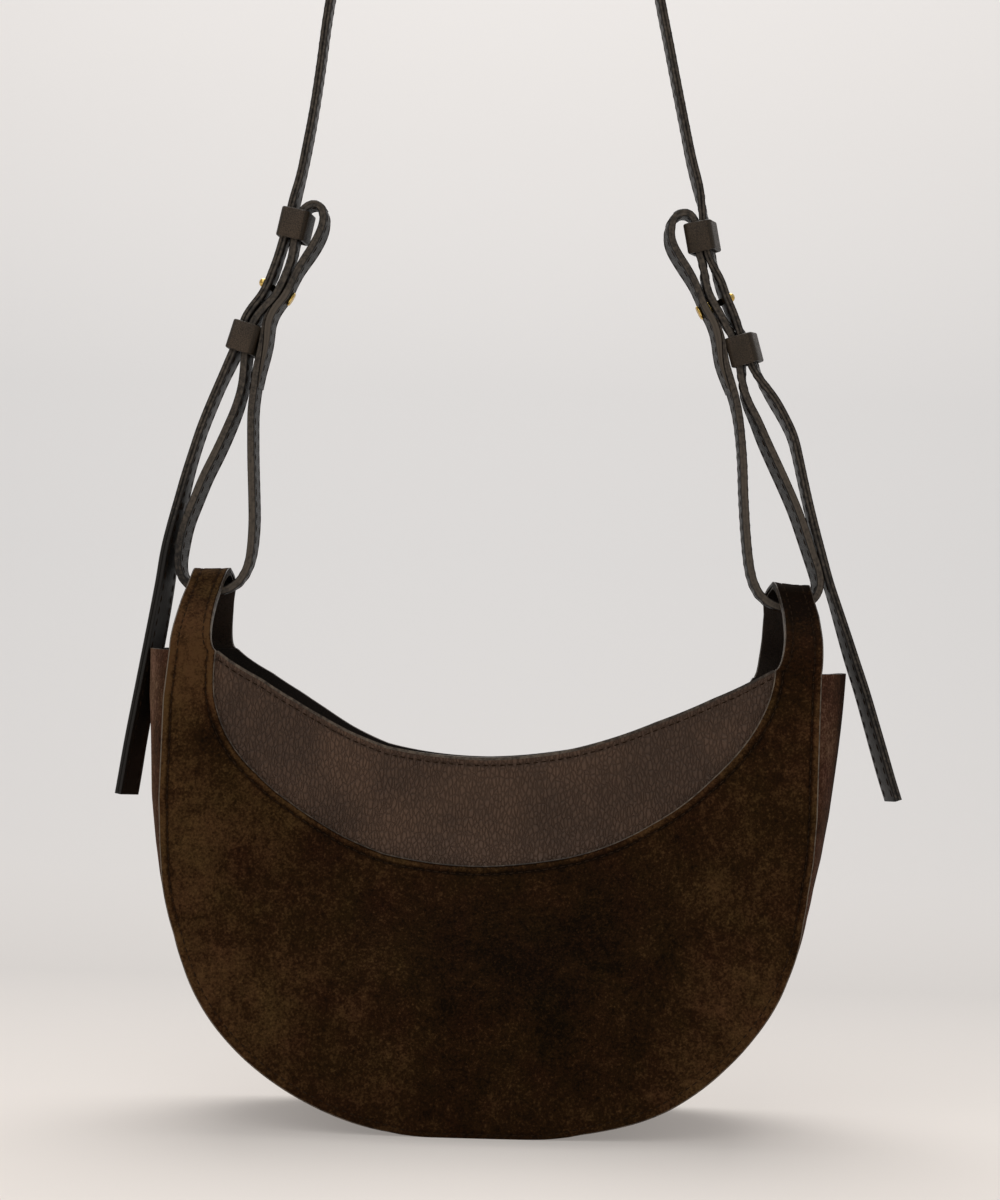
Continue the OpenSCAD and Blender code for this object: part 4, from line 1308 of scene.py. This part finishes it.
for name, (layer, _) in layers.items():
    punches = [punch(side, height) for side in (-1, 1) for height in hole_heights]
    for rod in punches:
        layer.modifiers.new("hole", "BOOLEAN").object = rod
    layer = plain_mesh(layer, "long_strap_" + name)
    for rod in punches:
        bpy.data.objects.remove(rod)
    dress(layer, "strap", "strap_leather", "strap_" + name)

# %% [markdown]
# ## Stitches
# Saddle stitches are short threads at an even pitch. One node tree sews everything: it takes
# polylines with a surface normal on each point, resamples them to the pitch, and sets one curved
# thread at each point. Its inputs are the pitch, the share of it that the thread fills, the
# thread's radius and how high it stands over the leather.

# %% Inputs of the stitch tree
sewing = bpy.data.node_groups.new("saddle_stitches", "GeometryNodeTree")
for label, kind, value in (
        ("Geometry", "NodeSocketGeometry", None), ("Pitch", "NodeSocketFloat", 0.0031),
        ("Stitch Share", "NodeSocketFloat", 0.78), ("Thread Radius", "NodeSocketFloat", 0.00027),
        ("Rise", "NodeSocketFloat", 0.0003), ("Thread", "NodeSocketMaterial", None)):
    socket = sewing.interface.new_socket(label, in_out="INPUT", socket_type=kind)
    if value is not None:
        socket.default_value = value
sewing.interface.new_socket("Geometry", in_out="OUTPUT", socket_type="NodeSocketGeometry")
print("stitch tree takes", [item.name for item in sewing.interface.items_tree])


# %% Where each stitch goes and how it lies
def sew(kind, settings=None, **sockets):
    return add_node(sewing, kind, settings, **sockets)


def sew_attribute(label):
    return sew(
        "GeometryNodeInputNamedAttribute", {"data_type": "FLOAT_VECTOR"}, Name=label).outputs[0]


given = sewing.nodes.new("NodeGroupInput").outputs
lines = sew("GeometryNodeMeshToCurve", None, Mesh=given["Geometry"]).outputs[0]
dots = sew("GeometryNodeResampleCurve", {"mode": "LENGTH"}, Curve=lines, Length=given["Pitch"])
tangent = sew("GeometryNodeInputTangent").outputs[0]
store = sew("GeometryNodeStoreNamedAttribute", {"data_type": "FLOAT_VECTOR", "domain": "POINT"},
            Geometry=dots.outputs[0], Name="way", Value=tangent).outputs[0]
points = sew("GeometryNodeCurveToPoints", {"mode": "EVALUATED"}, Curve=store).outputs[0]
first = sew("FunctionNodeAlignRotationToVector", {"axis": "X"}, Vector=sew_attribute("way"))
second = sew("FunctionNodeAlignRotationToVector", {"axis": "Z", "pivot_axis": "X"},
             Rotation=first.outputs[0], Vector=sew_attribute("up"))

# %% One stitch, set at every point
length = math_node(sewing, "MULTIPLY", given["Pitch"], given["Stitch Share"])
half_length = math_node(sewing, "MULTIPLY", length, 0.5)
sunk = math_node(sewing, "MULTIPLY", given["Thread Radius"], -1.2)
ends = [
    sew("ShaderNodeCombineXYZ", None, X=math_node(sewing, "MULTIPLY", half_length, sign), Z=sunk)
    for sign in (-1, 1)]
top = sew("ShaderNodeCombineXYZ", None, Z=given["Rise"])
arc = sew("GeometryNodeCurveQuadraticBezier", None, Start=ends[0].outputs[0],
          Middle=top.outputs[0], End=ends[1].outputs[0], Resolution=4)
ring = sew("GeometryNodeCurvePrimitiveCircle", {"mode": "RADIUS"},
           Radius=given["Thread Radius"], Resolution=6)
strand = sew("GeometryNodeCurveToMesh", None, Curve=arc.outputs[0], Fill_Caps=True)
sewing.links.new(ring.outputs[0], strand.inputs["Profile Curve"])
set_stitches = sew("GeometryNodeInstanceOnPoints", None, Points=points,
                   Instance=strand.outputs[0], Rotation=second.outputs[0])
solid = sew("GeometryNodeRealizeInstances", None, Geometry=set_stitches.outputs[0])
shaded = sew("GeometryNodeSetShadeSmooth", None, Geometry=solid.outputs[0])
finished = sew("GeometryNodeSetMaterial", None, Geometry=shaded.outputs[0],
               Material=given["Thread"])
sewing.links.new(finished.outputs[0], sewing.nodes.new("NodeGroupOutput").inputs[0])
print("stitch tree has", len(sewing.nodes), "nodes")

# %% [markdown]
# A row is a column of a sheet's grid, or a line on the face of a strap, with the normals there.
# All the rows of one body become one plain mesh, so that they move with it.


# %% Rows of stitches
def stitch_rows(name, rows, body, slot, pitch, radius, stand):
    """Stitches along rows of (points, normals) in mm, as one plain mesh for a body."""
    points = np.concatenate([row[0] for row in rows])
    edges, start = [], 0
    for row in rows:
        edges += [(start + k, start + k + 1) for k in range(len(row[0]) - 1)]
        start += len(row[0])
    source = mesh_object(name + "_rows", points, [], edges)
    normals = np.concatenate([row[1] for row in rows]).astype(np.float32)
    layer = source.data.attributes.new("up", "FLOAT_VECTOR", "POINT")
    layer.data.foreach_set("vector", normals.ravel())
    nodes = source.modifiers.new("sewing", "NODES")
    nodes.node_group = sewing
    ids = {item.name: item.identifier for item in sewing.interface.items_tree
           if item.in_out == "INPUT"}
    for label, value in (("Pitch", pitch * MM), ("Thread Radius", radius * MM),
                         ("Rise", stand * MM), ("Thread", thread)):
        nodes[ids[label]] = value
    dress(plain_mesh(source, name), body, slot)


def grid_row(grid, column, flip=False):
    return grid[:, column], face_normals(grid, flip)[:, column]


# %% Stitches of the bag
bag_rows = []
for grid, flip in panels.values():
    for column in (stitch_column, -1 - stitch_column):
        bag_rows.append(grid_row(grid, column, flip))
for grid, flip in yokes.values():
    points, normals = grid_row(grid, -1 - stitch_column, flip)
    bag_rows.append((points[6:-6], normals[6:-6]))
stitch_rows("bag_stitches", bag_rows, "bag", "suede", 3.1, 0.28, 0.3)

# %% Stitches of the straps
stitch_edge, stitch_float = 4.3, 0.02
sewn_faces = [(layers["outer_layer"][1], (1,)), (layers["inner_layer"][1], (-1,))]
sewn_faces += [(link_frame, (-1, 1)) for link_frame in link_frames.values()]
strap_rows = []
for (centre, across, width, low, high), faces in sewn_faces:
    for aside in (-stitch_edge, stitch_edge):
        for way in faces:
            face = (high if way > 0 else low) + way * stitch_float
            points = centre + across * face[:, None] + width * aside
            strap_rows.append((points[2:-2], across[2:-2] * way))
stitch_rows("strap_stitches", strap_rows, "strap", "strap_leather", 4.4, 0.26, 0.3)

# %% [markdown]
# ## Snap
# The magnetic snap is pressed and turned metal. Metal keeps its form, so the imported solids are
# already right and only their finish changes.

# %% Snap finishes
for node, finish in (("snap_socket", pressed_brass), ("snap_plate", pressed_brass),
                     ("snap_magnet", dark_magnet), ("snap_washers", washer_steel)):
    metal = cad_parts[node]
    metal.data.materials.clear()
    metal.data.materials.append(finish)
print("snap has its metal")
